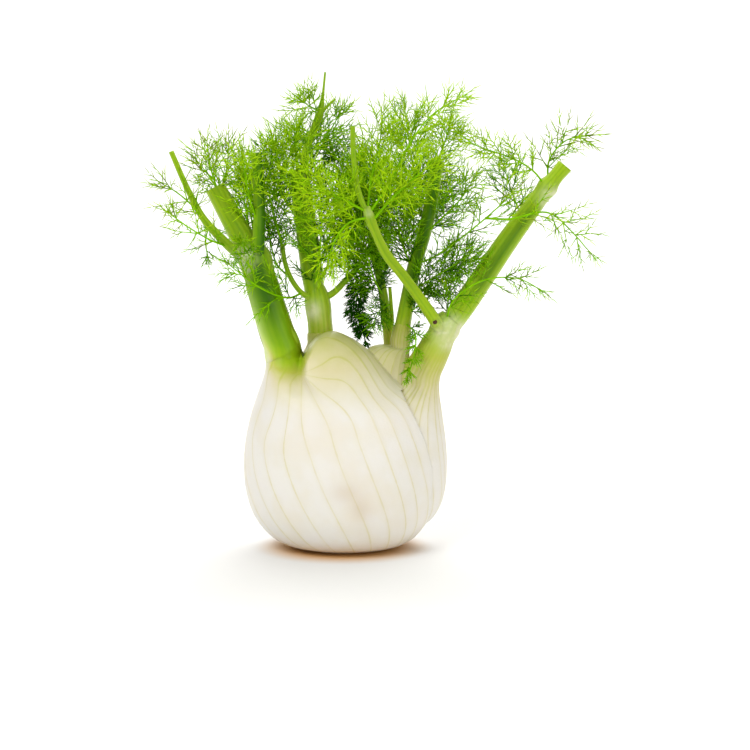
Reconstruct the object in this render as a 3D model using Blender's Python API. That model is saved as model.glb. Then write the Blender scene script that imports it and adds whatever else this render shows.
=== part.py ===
"""A fennel bulb with cut stalks and feathery fronds, standing on its root plate.

Metres, +Z up. The origin is the middle of the flat cut face under the root plate, the broad side
of the bulb faces -Y, and +X is to the right of someone looking at that side.

A fennel bulb is a bunch of leaves. Each leaf is a white sheath that wraps the younger ones, a
green stalk on top of it, and fronds of thread-like leaflets on the stalk. So every sheath, every
stalk with its branches, and every frond is an object of its own.
"""

from collections import namedtuple
from math import cos, pi, radians, sin

import bmesh
import bpy
import numpy as np
from mathutils import Vector
from mathutils.bvhtree import BVHTree

# All sizes below are millimetres, and MM turns them into metres where a mesh is made.
MM = 0.001

# Clearance between neighbouring solids
GAP = 0.3

# How far a leaflet stays off the pieces that it doesn't grow from
LEAFLET_CLEARANCE = 0.4

# How much of a leaflet, from its root, may touch other leaflets of its frond
ROOT_LENGTH = 2.0

# Radii of the parts of a frond: its rachis at the root and at the tip, and its leaflets
RACHIS_RADIUS = 0.95
RACHIS_TIP_RADIUS = 0.72
LEAFLET_RADIUS = 0.5

# A sheath is lofted through elliptical rings. A ring lies from its left end to its right end, both
# (x, z), and it has its middle at middle_y and reaches half_depth to the front and to the back.
Ring = namedtuple("Ring", "left right middle_y half_depth")

# A tube of a stalk follows points (x, y, z, radius), from its root to its cut end.
# A frond grows from a stalk. Each of its axes follows points (x, y, z), reach is the length of its
# longest leaflet, and pairs is how many pairs of leaflets stand on each axis.
Frond = namedtuple("Frond", "name stalk reach pairs axes")

ROOT_PLATE = [
    Ring((-19.0, 0.0), (19.0, 0.0), 0.0, 15.5),
    Ring((-17.5, 1.6), (17.5, 1.6), 0.0, 14.0),
    Ring((-10.0, 3.6), (10.0, 3.6), 0.0, 8.0),
]

LEFT_SHEATH = [
    Ring((-22.5, 0.8), (24.5, 0.8), 0.0, 18.5),
    Ring((-28.5, 2.6), (30.0, 2.8), 0.0, 24.0),
    Ring((-35.5, 7.0), (35.5, 7.5), 0.0, 29.5),
    Ring((-41.5, 14.5), (40.8, 15.0), 0.0, 33.5),
    Ring((-45.9, 27.0), (44.5, 28.0), 0.0, 36.0),
    Ring((-47.2, 41.0), (45.0, 42.0), 0.0, 36.5),
    Ring((-46.0, 53.0), (42.9, 56.0), -0.5, 35.0),
    Ring((-43.5, 64.0), (38.0, 69.0), -1.0, 32.0),
    Ring((-40.5, 73.0), (27.0, 79.0), -2.0, 28.5),
    Ring((-38.2, 79.5), (18.5, 88.0), -3.0, 25.0),
    Ring((-36.9, 83.5), (11.0, 95.5), -4.0, 21.5),
    Ring((-36.4, 86.0), (3.0, 101.0), -5.0, 18.0),
    Ring((-36.2, 87.5), (-5.5, 104.0), -5.0, 15.0),
    Ring((-36.2, 88.4), (-12.5, 102.5), -4.5, 12.5),
    Ring((-36.3, 89.1), (-17.0, 97.5), -3.5, 10.3),
    Ring((-36.5, 89.8), (-18.8, 91.0), -3.0, 9.0),
]

RIGHT_SHEATH = [
    Ring((-12.0, 2.4), (26.0, 2.4), 0.0, 14.0),
    Ring((-20.0, 6.0), (35.3, 8.5), 0.0, 18.5),
    Ring((-24.0, 12.5), (43.2, 15.5), 0.0, 22.0),
    Ring((-27.0, 24.0), (47.8, 26.0), 0.0, 24.0),
    Ring((-26.0, 38.0), (49.0, 38.0), 0.0, 24.5),
    Ring((-20.0, 52.0), (48.5, 50.0), 0.0, 24.0),
    Ring((-9.0, 64.0), (47.3, 60.0), 0.0, 22.0),
    Ring((6.0, 73.0), (46.0, 68.0), 0.0, 18.5),
    Ring((18.5, 77.5), (45.3, 73.5), 0.0, 14.5),
    Ring((26.5, 79.0), (45.2, 76.8), 0.0, 10.4),
]

INNER_LEFT_SHEATH = [
    Ring((-20.0, 5.0), (12.0, 5.0), 6.0, 12.0),
    Ring((-30.0, 16.0), (22.0, 16.0), 7.0, 18.0),
    Ring((-34.0, 36.0), (27.0, 38.0), 8.0, 20.0),
    Ring((-32.0, 54.0), (24.0, 58.0), 8.5, 20.0),
    Ring((-28.0, 70.0), (16.0, 76.0), 10.0, 19.0),
    Ring((-24.0, 82.0), (9.0, 90.0), 11.0, 16.0),
    Ring((-20.5, 90.0), (3.0, 97.5), 12.0, 12.0),
    Ring((-18.0, 94.0), (-2.0, 99.5), 12.0, 9.0),
    Ring((-17.0, 97.0), (-4.3, 98.5), 12.0, 6.6),
]

INNER_RIGHT_SHEATH = [
    Ring((-10.0, 4.6), (16.0, 4.6), 2.0, 10.0),
    Ring((-18.0, 14.0), (29.0, 14.0), 2.0, 15.0),
    Ring((-20.0, 36.0), (35.0, 36.0), 2.0, 17.5),
    Ring((-16.0, 54.0), (36.0, 54.0), 3.0, 17.0),
    Ring((-8.0, 70.0), (34.0, 68.0), 3.5, 14.5),
    Ring((2.0, 84.0), (31.8, 80.0), 4.0, 11.5),
    Ring((9.0, 92.0), (31.3, 87.0), 4.5, 9.5),
    Ring((14.0, 95.6), (31.2, 91.0), 5.0, 7.8),
    Ring((19.0, 96.2), (31.3, 93.5), 5.5, 6.0),
    Ring((22.6, 95.2), (31.4, 95.0), 6.0, 4.6),
]

# Each stalk is its leaf's petiole, up to the collar where it branches, and the branches
STALKS = {
    "stalk_left": [
        [(-27.7, -3.0, 90.8, 8.7), (-28.1, -3.0, 95.5, 8.4), (-30.8, -3.0, 103.0, 8.0), (-35.5, -3.0, 118.0, 7.6),
         (-39.8, -3.0, 133.0, 7.4), (-41.2, -3.0, 138.0, 7.9), (-42.4, -3.0, 142.0, 6.4)],
        [(-41.0, -3.0, 134.0, 5.0), (-45.5, -2.5, 145.0, 5.7), (-52.0, -2.0, 157.0, 5.2),
         (-59.5, -1.0, 171.0, 4.7)],
        [(-39.6, -6.5, 135.0, 2.6), (-39.0, -8.5, 146.0, 2.9), (-38.6, -9.0, 163.0, 2.7),
         (-39.6, -9.0, 187.5, 2.5)],
        [(-43.0, -6.5, 135.0, 2.4), (-50.0, -8.5, 141.5, 2.3), (-56.5, -9.5, 148.0, 2.1),
         (-64.0, -10.0, 156.5, 1.7), (-71.0, -10.0, 169.5, 1.4), (-79.0, -10.0, 188.0, 1.2)],
    ],
    "stalk_right": [
        [(35.9, 0.0, 78.3, 9.2), (36.6, 0.0, 83.0, 8.5), (38.7, 0.0, 87.0, 7.9), (41.8, 0.0, 92.5, 7.3),
         (46.0, 0.0, 101.0, 6.7), (48.6, 0.0, 106.0, 7.1), (51.2, 0.0, 109.5, 5.6)],
        [(47.5, 0.0, 102.5, 5.0), (56.0, 0.0, 114.5, 5.4), (66.0, 0.0, 129.5, 5.3),
         (76.0, 0.0, 144.5, 5.0), (86.0, 0.0, 158.5, 4.6), (93.5, 0.0, 168.5, 4.4),
         (95.6, 0.0, 171.3, 4.9), (97.4, 0.0, 173.6, 3.9), (103.5, 0.0, 181.0, 3.7)],
        [(46.5, -2.0, 103.0, 3.4), (42.8, -7.0, 109.5, 3.0), (34.2, -14.0, 122.5, 2.5),
         (27.5, -19.0, 132.0, 2.4), (20.0, -23.5, 142.0, 2.3), (15.0, -26.5, 152.5, 2.1),
         (12.0, -28.0, 160.5, 2.3), (11.0, -28.2, 163.5, 1.6)],
        [(11.8, -28.0, 159.5, 1.4), (8.2, -27.5, 168.0, 1.3), (5.4, -27.0, 184.0, 1.2),
         (4.9, -27.0, 200.0, 1.1)],
    ],
    "stalk_middle": [
        [(-10.6, 12.0, 98.2, 6.0), (-11.3, 12.0, 107.0, 5.8), (-12.2, 12.0, 115.0, 5.9),
         (-12.6, 12.0, 119.0, 6.3), (-12.9, 12.0, 122.0, 5.0)],
        [(-13.0, 12.0, 116.0, 4.4), (-15.0, 12.0, 128.0, 4.7), (-17.5, 12.0, 145.0, 4.4),
         (-20.0, 12.0, 162.0, 4.0), (-21.8, 12.0, 178.5, 3.7)],
        [(-11.0, 15.5, 115.0, 2.4), (-13.5, 20.0, 140.0, 2.4), (-17.0, 21.0, 165.0, 2.2),
         (-17.9, 19.0, 186.0, 2.0), (-13.5, 17.0, 199.0, 1.9), (-10.8, 16.0, 206.5, 1.9),
         (-9.6, 15.0, 214.0, 1.1), (-8.4, 15.0, 225.5, 0.7)],
        [(-11.0, 16.0, 205.5, 1.0), (-7.5, 15.0, 209.5, 0.9), (-3.6, 14.5, 213.0, 0.8)],
        [(-15.0, 10.0, 117.5, 1.6), (-19.5, 7.5, 120.5, 1.3), (-24.5, 5.5, 127.5, 1.2),
         (-27.5, 4.5, 136.0, 1.1), (-28.5, 4.0, 144.0, 1.0)],
        [(-9.5, 12.0, 117.5, 1.8), (-5.0, 12.0, 120.0, 1.6), (1.0, 12.0, 126.0, 1.5),
         (6.6, 12.0, 132.0, 1.3)],
    ],
    "stalk_back": [
        [(27.0, 6.0, 95.6, 4.2), (27.1, 6.0, 98.5, 4.0), (28.1, 6.5, 105.0, 3.7), (31.0, 7.5, 120.5, 3.4),
         (34.3, 8.0, 136.0, 3.3), (38.0, 8.0, 148.0, 3.2), (41.8, 8.0, 166.0, 3.1),
         (44.3, 8.0, 183.0, 2.9)],
    ],
    "stalk_heart": [
        [(20.0, 15.0, 62.0, 1.4), (21.4, 16.0, 82.0, 2.0), (21.4, 16.0, 96.0, 2.3),
         (20.2, 16.0, 109.0, 2.3), (18.4, 15.5, 122.0, 2.1), (15.5, 15.0, 135.0, 2.0),
         (13.5, 15.0, 146.0, 1.7)],
        [(21.4, 15.5, 98.0, 1.2), (23.0, 13.0, 105.0, 1.0), (22.6, 12.0, 115.0, 0.9),
         (22.0, 12.0, 123.0, 0.8)],
    ],
}

FRONDS = [
    Frond("frond_left_outer", "stalk_left", 13, 3,
          [[(-64, -10, 156.5), (-70, -13.5, 164), (-77, -15, 170), (-84, -15, 174)]]),
    Frond("frond_left_low", "stalk_left", 12, 3,
          [[(-52, -8.8, 143.5), (-60, -14.5, 147), (-70, -17, 153), (-81, -17, 161)]]),
    Frond("frond_left_hanging", "stalk_left", 6, 2,
          [[(-62, -9.9, 154), (-63.5, -9.5, 146), (-62, -10.5, 137)]]),
    Frond("frond_left_crown_front", "stalk_left", 16, 4,
          [[(-57.5, -1.3, 167), (-61, -9, 181), (-63, -11, 197)]]),
    Frond("frond_left_crown", "stalk_left", 15, 4,
          [[(-57, -1.3, 166), (-54, 4, 181), (-53, 5, 196)]]),
    Frond("frond_left_crown_back", "stalk_left", 13, 3,
          [[(-55, -1.5, 162), (-62, 10, 174), (-70, 16, 184)]]),
    Frond("frond_left_stub", "stalk_left", 15, 4,
          [[(-38.8, -8.8, 153), (-43, -15, 168), (-45, -18, 182), (-46, -18, 196)]]),
    Frond("frond_left_collar", "stalk_left", 8, 3,
          [[(-42, -4, 137), (-45, -15, 143), (-48, -20, 148)]]),
    Frond("frond_left_back", "stalk_left", 16, 4,
          [[(-41, -2, 138), (-43, 14, 152), (-46, 20, 168), (-48, 24, 184)]]),
    Frond("frond_left_between", "stalk_left", 12, 4,
          [[(-45, -2.5, 144), (-44.5, -3, 155), (-46, 0, 166), (-46.5, 2, 178)]]),
    Frond("frond_front_cross", "stalk_middle", 14, 4,
          [[(-19.5, 7.5, 120.5), (-26.5, -8, 120), (-37, -17, 125), (-48, -18.5, 133), (-55, -18, 139)]]),
    Frond("frond_middle_left", "stalk_middle", 18, 5,
          [[(-28.3, 4.2, 142.5), (-32, 0, 157), (-34.5, -3, 170), (-36, -2, 184)]]),
    Frond("frond_middle_upper", "stalk_middle", 18, 5,
          [[(-20, 12, 161), (-27, 4, 174), (-31, -4, 188), (-33, -8, 203)]]),
    Frond("frond_middle_top", "stalk_middle", 16, 5,
          [[(-21.7, 12, 176), (-22, 4, 189), (-23, -2, 200), (-25, -4, 212)]]),
    Frond("frond_long_stem_right", "stalk_middle", 13, 4,
          [[(-17.8, 19.2, 184), (-9, 20, 193), (-3, 20, 202), (0, 20, 210)]]),
    Frond("frond_long_stem_left", "stalk_middle", 12, 3,
          [[(-11, 16, 205.5), (-17, 12, 209), (-23, 9, 214)]]),
    Frond("frond_middle_front", "stalk_middle", 18, 5,
          [[(-14, 12, 121), (-11, -4, 140), (-9.5, -13, 158), (-11, -18, 175)]]),
    Frond("frond_middle_back", "stalk_middle", 20, 5,
          [[(-12.3, 18, 130), (-5, 26, 152), (-1, 30, 173), (1, 32, 192)]]),
    Frond("frond_middle_right", "stalk_middle", 16, 5,
          [[(1, 12, 126), (4, 9, 140), (4, 4, 156), (3, 0, 172)]]),
    Frond("frond_dark", "stalk_middle", 5.5, 9,
          [[(5.6, 12, 131), (8.5, 14, 124), (6, 15, 114), (9.5, 16.5, 101)]]),
    Frond("frond_back_left", "stalk_middle", 20, 5,
          [[(-14.5, 20.5, 147), (-25, 28, 159), (-34, 35, 172), (-39, 39, 187)]]),
    Frond("frond_back_top", "stalk_middle", 18, 5,
          [[(-17.3, 20.8, 169), (-15, 30, 182), (-16, 37, 197)]]),
    Frond("frond_middle_left_low", "stalk_middle", 12, 4,
          [[(-24.5, 5.5, 127.5), (-31, 6, 134), (-34, 7, 144), (-35, 8, 155)]]),
    Frond("frond_head_left", "stalk_right", 17, 6,
          [[(11.8, -28, 161), (1, -32, 167), (-10, -35, 172), (-22, -33, 179)]]),
    Frond("frond_head_long", "stalk_right", 14, 6,
          [[(12.2, -28.6, 160.5), (22, -28, 175), (29, -24, 189), (40, -19, 204), (60, -15, 216)]]),
    Frond("frond_head_up", "stalk_right", 16, 6,
          [[(11.5, -27.2, 160.5), (13, -22, 174), (17, -19, 191), (19, -18, 208)]]),
    Frond("frond_head_right", "stalk_right", 17, 6,
          [[(13.2, -27.6, 156.5), (23, -33, 168), (34, -33, 178), (46, -30, 186)]]),
    Frond("frond_head_down", "stalk_right", 15, 5,
          [[(12.3, -28, 159), (2, -35, 156), (-4, -37, 147), (-7, -35, 135)]]),
    Frond("frond_back_tip", "stalk_back", 13, 4,
          [[(44.2, 8, 181), (47, 4, 190), (50, 2, 200)]]),
    Frond("frond_back_upper", "stalk_back", 17, 5,
          [[(40.2, 8, 158.5), (34, 12, 175), (31, 14, 192), (29, 14, 209)]]),
    Frond("frond_back_side", "stalk_back", 14, 5,
          [[(38, 8, 148), (47, 2, 157), (56, -2, 167), (62, -4, 177)]]),
    Frond("frond_long_right", "stalk_back", 14, 5,
          [[(33.8, 8, 134), (42, 0, 138), (54, -7, 147), (67, -11, 158), (83, -13, 173)],
           [(66, -10.8, 157.2), (76, -14, 157), (95, -16, 160), (107, -15, 150), (117, -14, 138)]]),
    Frond("frond_back_low", "stalk_back", 13, 5,
          [[(31, 7.5, 120.5), (40, 1, 127), (52, -4, 135), (63, -7, 143)]]),
    Frond("frond_back_base", "stalk_back", 8, 4,
          [[(29, 7, 110), (35, 3, 115), (39, 2, 123)]]),
    Frond("frond_back_right", "stalk_back", 19, 5,
          [[(37, 8, 145), (40, 23, 162), (42, 31, 179)]]),
    Frond("frond_back_inner", "stalk_back", 16, 5,
          [[(33, 8, 131), (27, 1, 147), (25, -3, 162), (25, -5, 175)]]),
    Frond("frond_axil", "stalk_back", 5.5, 5,
          [[(28.4, 6.6, 107), (34, -7, 102), (32.5, -14, 91), (28.5, -19.5, 80)]]),
    Frond("frond_heart", "stalk_heart", 18, 6,
          [[(14, 15, 143.5), (12, 10, 156), (11, 6, 170), (9, 4, 185)]]),
    Frond("frond_heart_front", "stalk_heart", 14, 5,
          [[(19, 15.6, 118), (14, 4, 129), (11, -5, 141), (8, -10, 153)]]),
    Frond("frond_heart_low", "stalk_heart", 9, 4,
          [[(22.6, 12, 115), (17, 6, 112), (14, 2, 106)]]),
    Frond("frond_heart_back", "stalk_heart", 19, 5,
          [[(15, 15, 139), (15, 28, 155), (14, 37, 169), (12, 42, 182)]]),
    Frond("frond_right_curl", "stalk_right", 10, 6,
          [[(95, 0, 170.5), (88, -6, 179), (78, -8, 185), (69, -8, 188), (61, -8, 191),
            (51, -7, 199)]]),
    Frond("frond_right_top", "stalk_right", 13, 5,
          [[(95.6, 0, 171.5), (97, 7, 184), (104, 8, 192), (118, 6, 195)]]),
    Frond("frond_right_cross", "stalk_right", 12, 5,
          [[(48, 0, 106), (52, -13, 120), (65, -17, 129), (80, -17, 130), (97, -16, 121)]]),
    Frond("frond_right_back", "stalk_right", 15, 4,
          [[(84, 0, 156), (80, 15, 167), (76, 23, 180)]]),
    Frond("frond_right_inner", "stalk_right", 12, 4,
          [[(49, 1, 106), (50, 12, 119), (53, 15, 132)]]),
]

# Where the first and the last pair of leaflets stand on an axis, as shares of its length
FIRST_PAIR = 0.24
LAST_PAIR = 0.86
LEAFLET_ANGLE = radians(48)
LEAFLET_TWIST = radians(45)
LEAFLET_LIFT = 0.14

# A leaflet is a short stem that forks into three prongs, which lean out by PRONG_ANGLE. A prong
# that would cross something is shortened to the first of these shares that is clear.
STEM_SHARE = 0.42
PRONG_ANGLE = radians(27)
CROTCH = 0.6
PRONG_SHARES = (1.0, 0.75, 0.5, 0.3)

# The corners of a leaflet are three at the root, three at the fork, the crotch and the three tips
LEAFLET_FACES = [
    (0, 2, 1), (0, 1, 4, 3), (1, 2, 5, 4), (2, 0, 3, 5),
    (3, 4, 7), (4, 6, 7), (6, 3, 7),
    (4, 5, 8), (5, 6, 8), (6, 4, 8),
    (5, 3, 9), (3, 6, 9), (6, 5, 9),
]

COLOURS = {
    "sheath": ((0.87, 0.84, 0.71), 0.42),
    "stalk": ((0.27, 0.46, 0.04), 0.42),
    "frond": ((0.20, 0.50, 0.02), 0.55),
    "dark_frond": ((0.03, 0.16, 0.01), 0.6),
    "root_plate": ((0.62, 0.50, 0.32), 0.7),
}


def clear_scene():
    """Removes every object that the file starts with."""
    for obj in list(bpy.data.objects):
        bpy.data.objects.remove(obj)


def material(name):
    """A Principled material in one of the part's colours."""
    colour, roughness = COLOURS[name]
    made = bpy.data.materials.new(name)
    made.use_nodes = True
    surface = made.node_tree.nodes["Principled BSDF"]
    surface.inputs["Base Color"].default_value = (*colour, 1.0)
    surface.inputs["Roughness"].default_value = roughness
    surface.inputs["Metallic"].default_value = 0.0
    return made


def add_object(name, mesh, collection, finish=None):
    """Puts a mesh in a collection under a name, with its material."""
    if finish:
        mesh.materials.append(finish)
    obj = bpy.data.objects.new(name, mesh)
    collection.objects.link(obj)
    return obj


def through(points, count):
    """A smooth curve through the points: each span is a cubic whose end slopes follow the neighbours."""
    p = np.array(points, float)
    chord = np.linalg.norm(np.diff(p, axis=0), axis=1)
    t = np.concatenate([[0.0], np.cumsum(chord)])
    slope = np.gradient(p, t, axis=0)
    at = np.linspace(0.0, t[-1], count)
    span = np.clip(np.searchsorted(t, at, side="right") - 1, 0, len(p) - 2)
    h = (t[span + 1] - t[span])[:, None]
    u = (at - t[span])[:, None] / h
    return (
        (2 * u**3 - 3 * u**2 + 1) * p[span]
        + (u**3 - 2 * u**2 + u) * h * slope[span]
        + (3 * u**2 - 2 * u**3) * p[span + 1]
        + (u**3 - u**2) * h * slope[span + 1]
    )


def loft(name, rings, count, sides, collection, finish=None, grow=0.0):
    """A closed solid through elliptical rings, made larger all round by grow."""
    rows = through([(*r.left, *r.right, r.middle_y, r.half_depth) for r in rings], count)
    left, right, middle_y, half_depth = rows[:, 0:2], rows[:, 2:4], rows[:, 4], rows[:, 5]
    middle = (left + right) / 2
    half = np.linalg.norm(right - left, axis=1) / 2
    along = (right - left) / (2 * half[:, None])
    up = np.stack([-along[:, 1], along[:, 0]], axis=1)
    middle[0] -= grow * up[0]
    middle[-1] += grow * up[-1]
    bm = bmesh.new()
    loops = []
    for i in range(count):
        loop = []
        for k in range(sides):
            angle = 2 * pi * k / sides
            out = middle[i] + (half[i] + grow) * cos(angle) * along[i]
            y = middle_y[i] + (half_depth[i] + grow) * sin(angle)
            loop.append(bm.verts.new((out[0] * MM, y * MM, out[1] * MM)))
        loops.append(loop)
    for low, high in zip(loops, loops[1:]):
        for k in range(sides):
            n = (k + 1) % sides
            bm.faces.new((low[k], low[n], high[n], high[k]))
    bm.faces.new(reversed(loops[0]))
    bm.faces.new(loops[-1])
    bmesh.ops.recalc_face_normals(bm, faces=bm.faces)
    mesh = bpy.data.meshes.new(name)
    bm.to_mesh(mesh)
    bm.free()
    return add_object(name, mesh, collection, finish)


def tube(name, points, radii, resolution, collection, finish=None):
    """A round tube along points, made a welded mesh. Its sides number four and two for each resolution."""
    curve = bpy.data.curves.new(name, "CURVE")
    curve.dimensions = "3D"
    curve.bevel_depth = MM
    curve.bevel_resolution = resolution
    curve.use_fill_caps = True
    spline = curve.splines.new("POLY")
    spline.points.add(len(points) - 1)
    for knot, point, radius in zip(spline.points, points, radii):
        knot.co = (*(c * MM for c in point), 1.0)
        knot.radius = radius
    drawn = bpy.data.objects.new(name, curve)
    collection.objects.link(drawn)
    bpy.context.view_layer.update()
    graph = bpy.context.evaluated_depsgraph_get()
    mesh = bpy.data.meshes.new_from_object(drawn.evaluated_get(graph))
    bpy.data.objects.remove(drawn)
    bm = bmesh.new()
    bm.from_mesh(mesh)
    bmesh.ops.remove_doubles(bm, verts=bm.verts, dist=0.001 * MM)
    bmesh.ops.recalc_face_normals(bm, faces=bm.faces)
    bm.to_mesh(mesh)
    bm.free()
    return add_object(name, mesh, collection, finish)


def leaflet(name, corners, collection):
    """A three-sided stem that forks into three spikes, from its ten corners."""
    mesh = bpy.data.meshes.new(name)
    mesh.from_pydata([tuple(c * MM) for c in corners], [], LEAFLET_FACES)
    return add_object(name, mesh, collection)


def largest_body(mesh):
    """Drops every loose scrap that a Boolean left beside the main body."""
    bm = bmesh.new()
    bm.from_mesh(mesh)
    bm.verts.ensure_lookup_table()
    bodies, seen = [], set()
    for start in bm.verts:
        if start in seen:
            continue
        body, rim = {start}, [start]
        while rim:
            for edge in rim.pop().link_edges:
                for vert in edge.verts:
                    if vert not in body:
                        body.add(vert)
                        rim.append(vert)
        seen |= body
        bodies.append(body)
    main = max(bodies, key=len)
    bmesh.ops.delete(bm, geom=[v for v in bm.verts if v not in main], context="VERTS")
    bm.to_mesh(mesh)
    bm.free()


def combine(obj, operation, tools, solver="EXACT"):
    """Joins or cuts obj with all the objects of a collection, which are then removed."""
    modifier = obj.modifiers.new(operation.lower(), "BOOLEAN")
    modifier.operation = operation
    modifier.operand_type = "COLLECTION"
    modifier.collection = tools
    modifier.solver = solver
    bpy.context.view_layer.update()
    graph = bpy.context.evaluated_depsgraph_get()
    mesh = bpy.data.meshes.new_from_object(obj.evaluated_get(graph))
    obj.modifiers.clear()
    obj.data = mesh
    for tool in list(tools.objects):
        bpy.data.objects.remove(tool)
    bpy.data.collections.remove(tools)
    largest_body(mesh)


def new_collection(name):
    """A collection directly under the scene's own."""
    made = bpy.data.collections.new(name)
    bpy.context.scene.collection.children.link(made)
    return made


def tube_rows(points):
    """The points and the radii of a stalk's tube."""
    rows = np.array(points, float)
    return rows[:, :3], rows[:, 3]


def add_stalk_tools(stalk, collection, grow):
    """The tubes of a stalk, grown by a clearance, as cutters."""
    for i, points in enumerate(STALKS[stalk]):
        path, radii = tube_rows(points)
        path[0] += grow * unit(path[0] - path[1])
        path[-1] += grow * unit(path[-1] - path[-2])
        tube(f"cut_{stalk}_{i}", path, radii + grow, 2 if i == 0 else 1, collection)


def make_stalk(stalk, collection, finish):
    """A petiole joined with its branches in one body."""
    first, *branches = STALKS[stalk]
    path, radii = tube_rows(first)
    made = tube(stalk, path, radii, 2, collection, finish)
    if branches:
        tools = new_collection("branches")
        for i, points in enumerate(branches):
            path, radii = tube_rows(points)
            tube(f"branch_{i}", path, radii, 1, tools)
        combine(made, "UNION", tools, solver="MANIFOLD")
    return made


def make_sheaths(collection, finish, plate_finish):
    """The root plate and the four sheaths, each cut back from those that it wraps."""
    loft("root_plate", ROOT_PLATE, 3, 20, collection, plate_finish)
    layers = [
        ("sheath_left", LEFT_SHEATH, 15, 22),
        ("sheath_right", RIGHT_SHEATH, 11, 16),
        ("sheath_inner_left", INNER_LEFT_SHEATH, 9, 14),
        ("sheath_inner_right", INNER_RIGHT_SHEATH, 9, 12),
    ]
    made = {}
    for i, (name, rings, count, sides) in enumerate(layers):
        made[name] = loft(name, rings, count, sides, collection, finish)
        tools = new_collection("wrapped")
        loft("cut_plate", ROOT_PLATE, 3, 20, tools, grow=GAP)
        for inner, inner_rings, inner_count, inner_sides in layers[i + 1 :]:
            loft(f"cut_{inner}", inner_rings, inner_count, inner_sides, tools, grow=GAP)
        for stalk in STALKS:
            add_stalk_tools(stalk, tools, GAP)
        combine(made[name], "DIFFERENCE", tools, solver="MANIFOLD")
    return made


def segment_gaps(a, b, starts, ends):
    """The least distance from the segment a to b to each of many segments."""
    d1, d2, r = b - a, ends - starts, a - starts
    aa = d1 @ d1
    ee = np.maximum((d2 * d2).sum(1), 1e-9)
    f = (d2 * r).sum(1)
    c = r @ d1
    bb = d2 @ d1
    denominator = np.maximum(aa * ee - bb * bb, 1e-9)
    s = np.clip((bb * f - c * ee) / denominator, 0, 1)
    t = np.clip((bb * s + f) / ee, 0, 1)
    s = np.clip((bb * t - c) / aa, 0, 1)
    nearest = a + s[:, None] * d1 - (starts + t[:, None] * d2)
    return np.linalg.norm(nearest, axis=1)


class Room:
    """What stands where: the segments of every stalk and frond, and the sheaths' surfaces."""

    def __init__(self, sheaths):
        self.starts = np.zeros((0, 3))
        self.ends = np.zeros((0, 3))
        self.radii = np.zeros(0)
        self.owners = np.zeros(0, object)
        self.trees = []
        for obj in sheaths.values():
            bm = bmesh.new()
            bm.from_mesh(obj.data)
            self.trees.append(BVHTree.FromBMesh(bm))
            bm.free()

    def take(self, owner, points, radii):
        """Notes a chain of segments as taken by its owner."""
        points = np.asarray(points, float)
        self.starts = np.vstack([self.starts, points[:-1]])
        self.ends = np.vstack([self.ends, points[1:]])
        self.radii = np.append(self.radii, np.maximum(radii[:-1], radii[1:]))
        self.owners = np.append(self.owners, [owner] * (len(points) - 1))

    def is_free(self, owner, root, tip):
        """True if a leaflet's part is clear of other pieces, and past its root of its own frond too."""
        others = self.owners != owner
        gaps = segment_gaps(root, tip, self.starts[others], self.ends[others])
        if (gaps < self.radii[others] + LEAFLET_RADIUS + LEAFLET_CLEARANCE).any():
            return False
        length = np.linalg.norm(tip - root)
        start = root + min(ROOT_LENGTH / length, 0.8) * (tip - root)
        gaps = segment_gaps(start, tip, self.starts[~others], self.ends[~others])
        if (gaps < self.radii[~others]).any():
            return False
        for share in (0.0, 0.35, 0.7, 1.0):
            point = Vector((root + share * (tip - root)) * MM)
            reach = (LEAFLET_RADIUS + 2 * LEAFLET_CLEARANCE) * MM
            if any(tree.find_nearest(point, reach)[0] for tree in self.trees):
                return False
        return True


def unit(v):
    """Vectors scaled to length one."""
    return v / np.linalg.norm(v, axis=-1, keepdims=True)


def leaflets_of(frond, axis, rng):
    """Roots, directions and lengths of an axis's leaflets: the pairs along it and the one at its tip."""
    fine = through(axis, 61)
    place = np.linspace(FIRST_PAIR, LAST_PAIR, frond.pairs)
    draw = rng.uniform(-1.0, 1.0, (frond.pairs, 2, 4))
    share = np.clip(place[:, None] + draw[:, :, 3] * 0.25 / frond.pairs, 0.08, 0.95)
    index = np.round(share * 60).astype(int)
    tangent = unit(fine[index + 1] - fine[index - 1])
    across = unit(np.cross(tangent, (0.0, -1.0, 0.0)))
    side = np.array([-1.0, 1.0])[None, :, None]
    twist = (LEAFLET_TWIST * draw[:, :, 0])[:, :, None]
    out = side * (np.cos(twist) * across + np.sin(twist) * np.cross(tangent, across))
    angle = (LEAFLET_ANGLE * (1.2 - 0.4 * share) * (1 + 0.2 * draw[:, :, 1]))[:, :, None]
    way = unit(np.cos(angle) * tangent + np.sin(angle) * out + np.array([0.0, 0.0, LEAFLET_LIFT]))
    length = frond.reach * np.sin(pi * (0.25 + 0.6 * share)) * (1 + 0.2 * draw[:, :, 2])
    tip_way = unit(fine[60] - fine[56])
    roots = np.vstack([fine[index].reshape(-1, 3), fine[60] - 0.3 * tip_way])
    ways = np.vstack([way.reshape(-1, 3), tip_way])
    lengths = np.append(length.ravel(), 0.62 * frond.reach)
    return zip(roots, ways, lengths)


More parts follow.
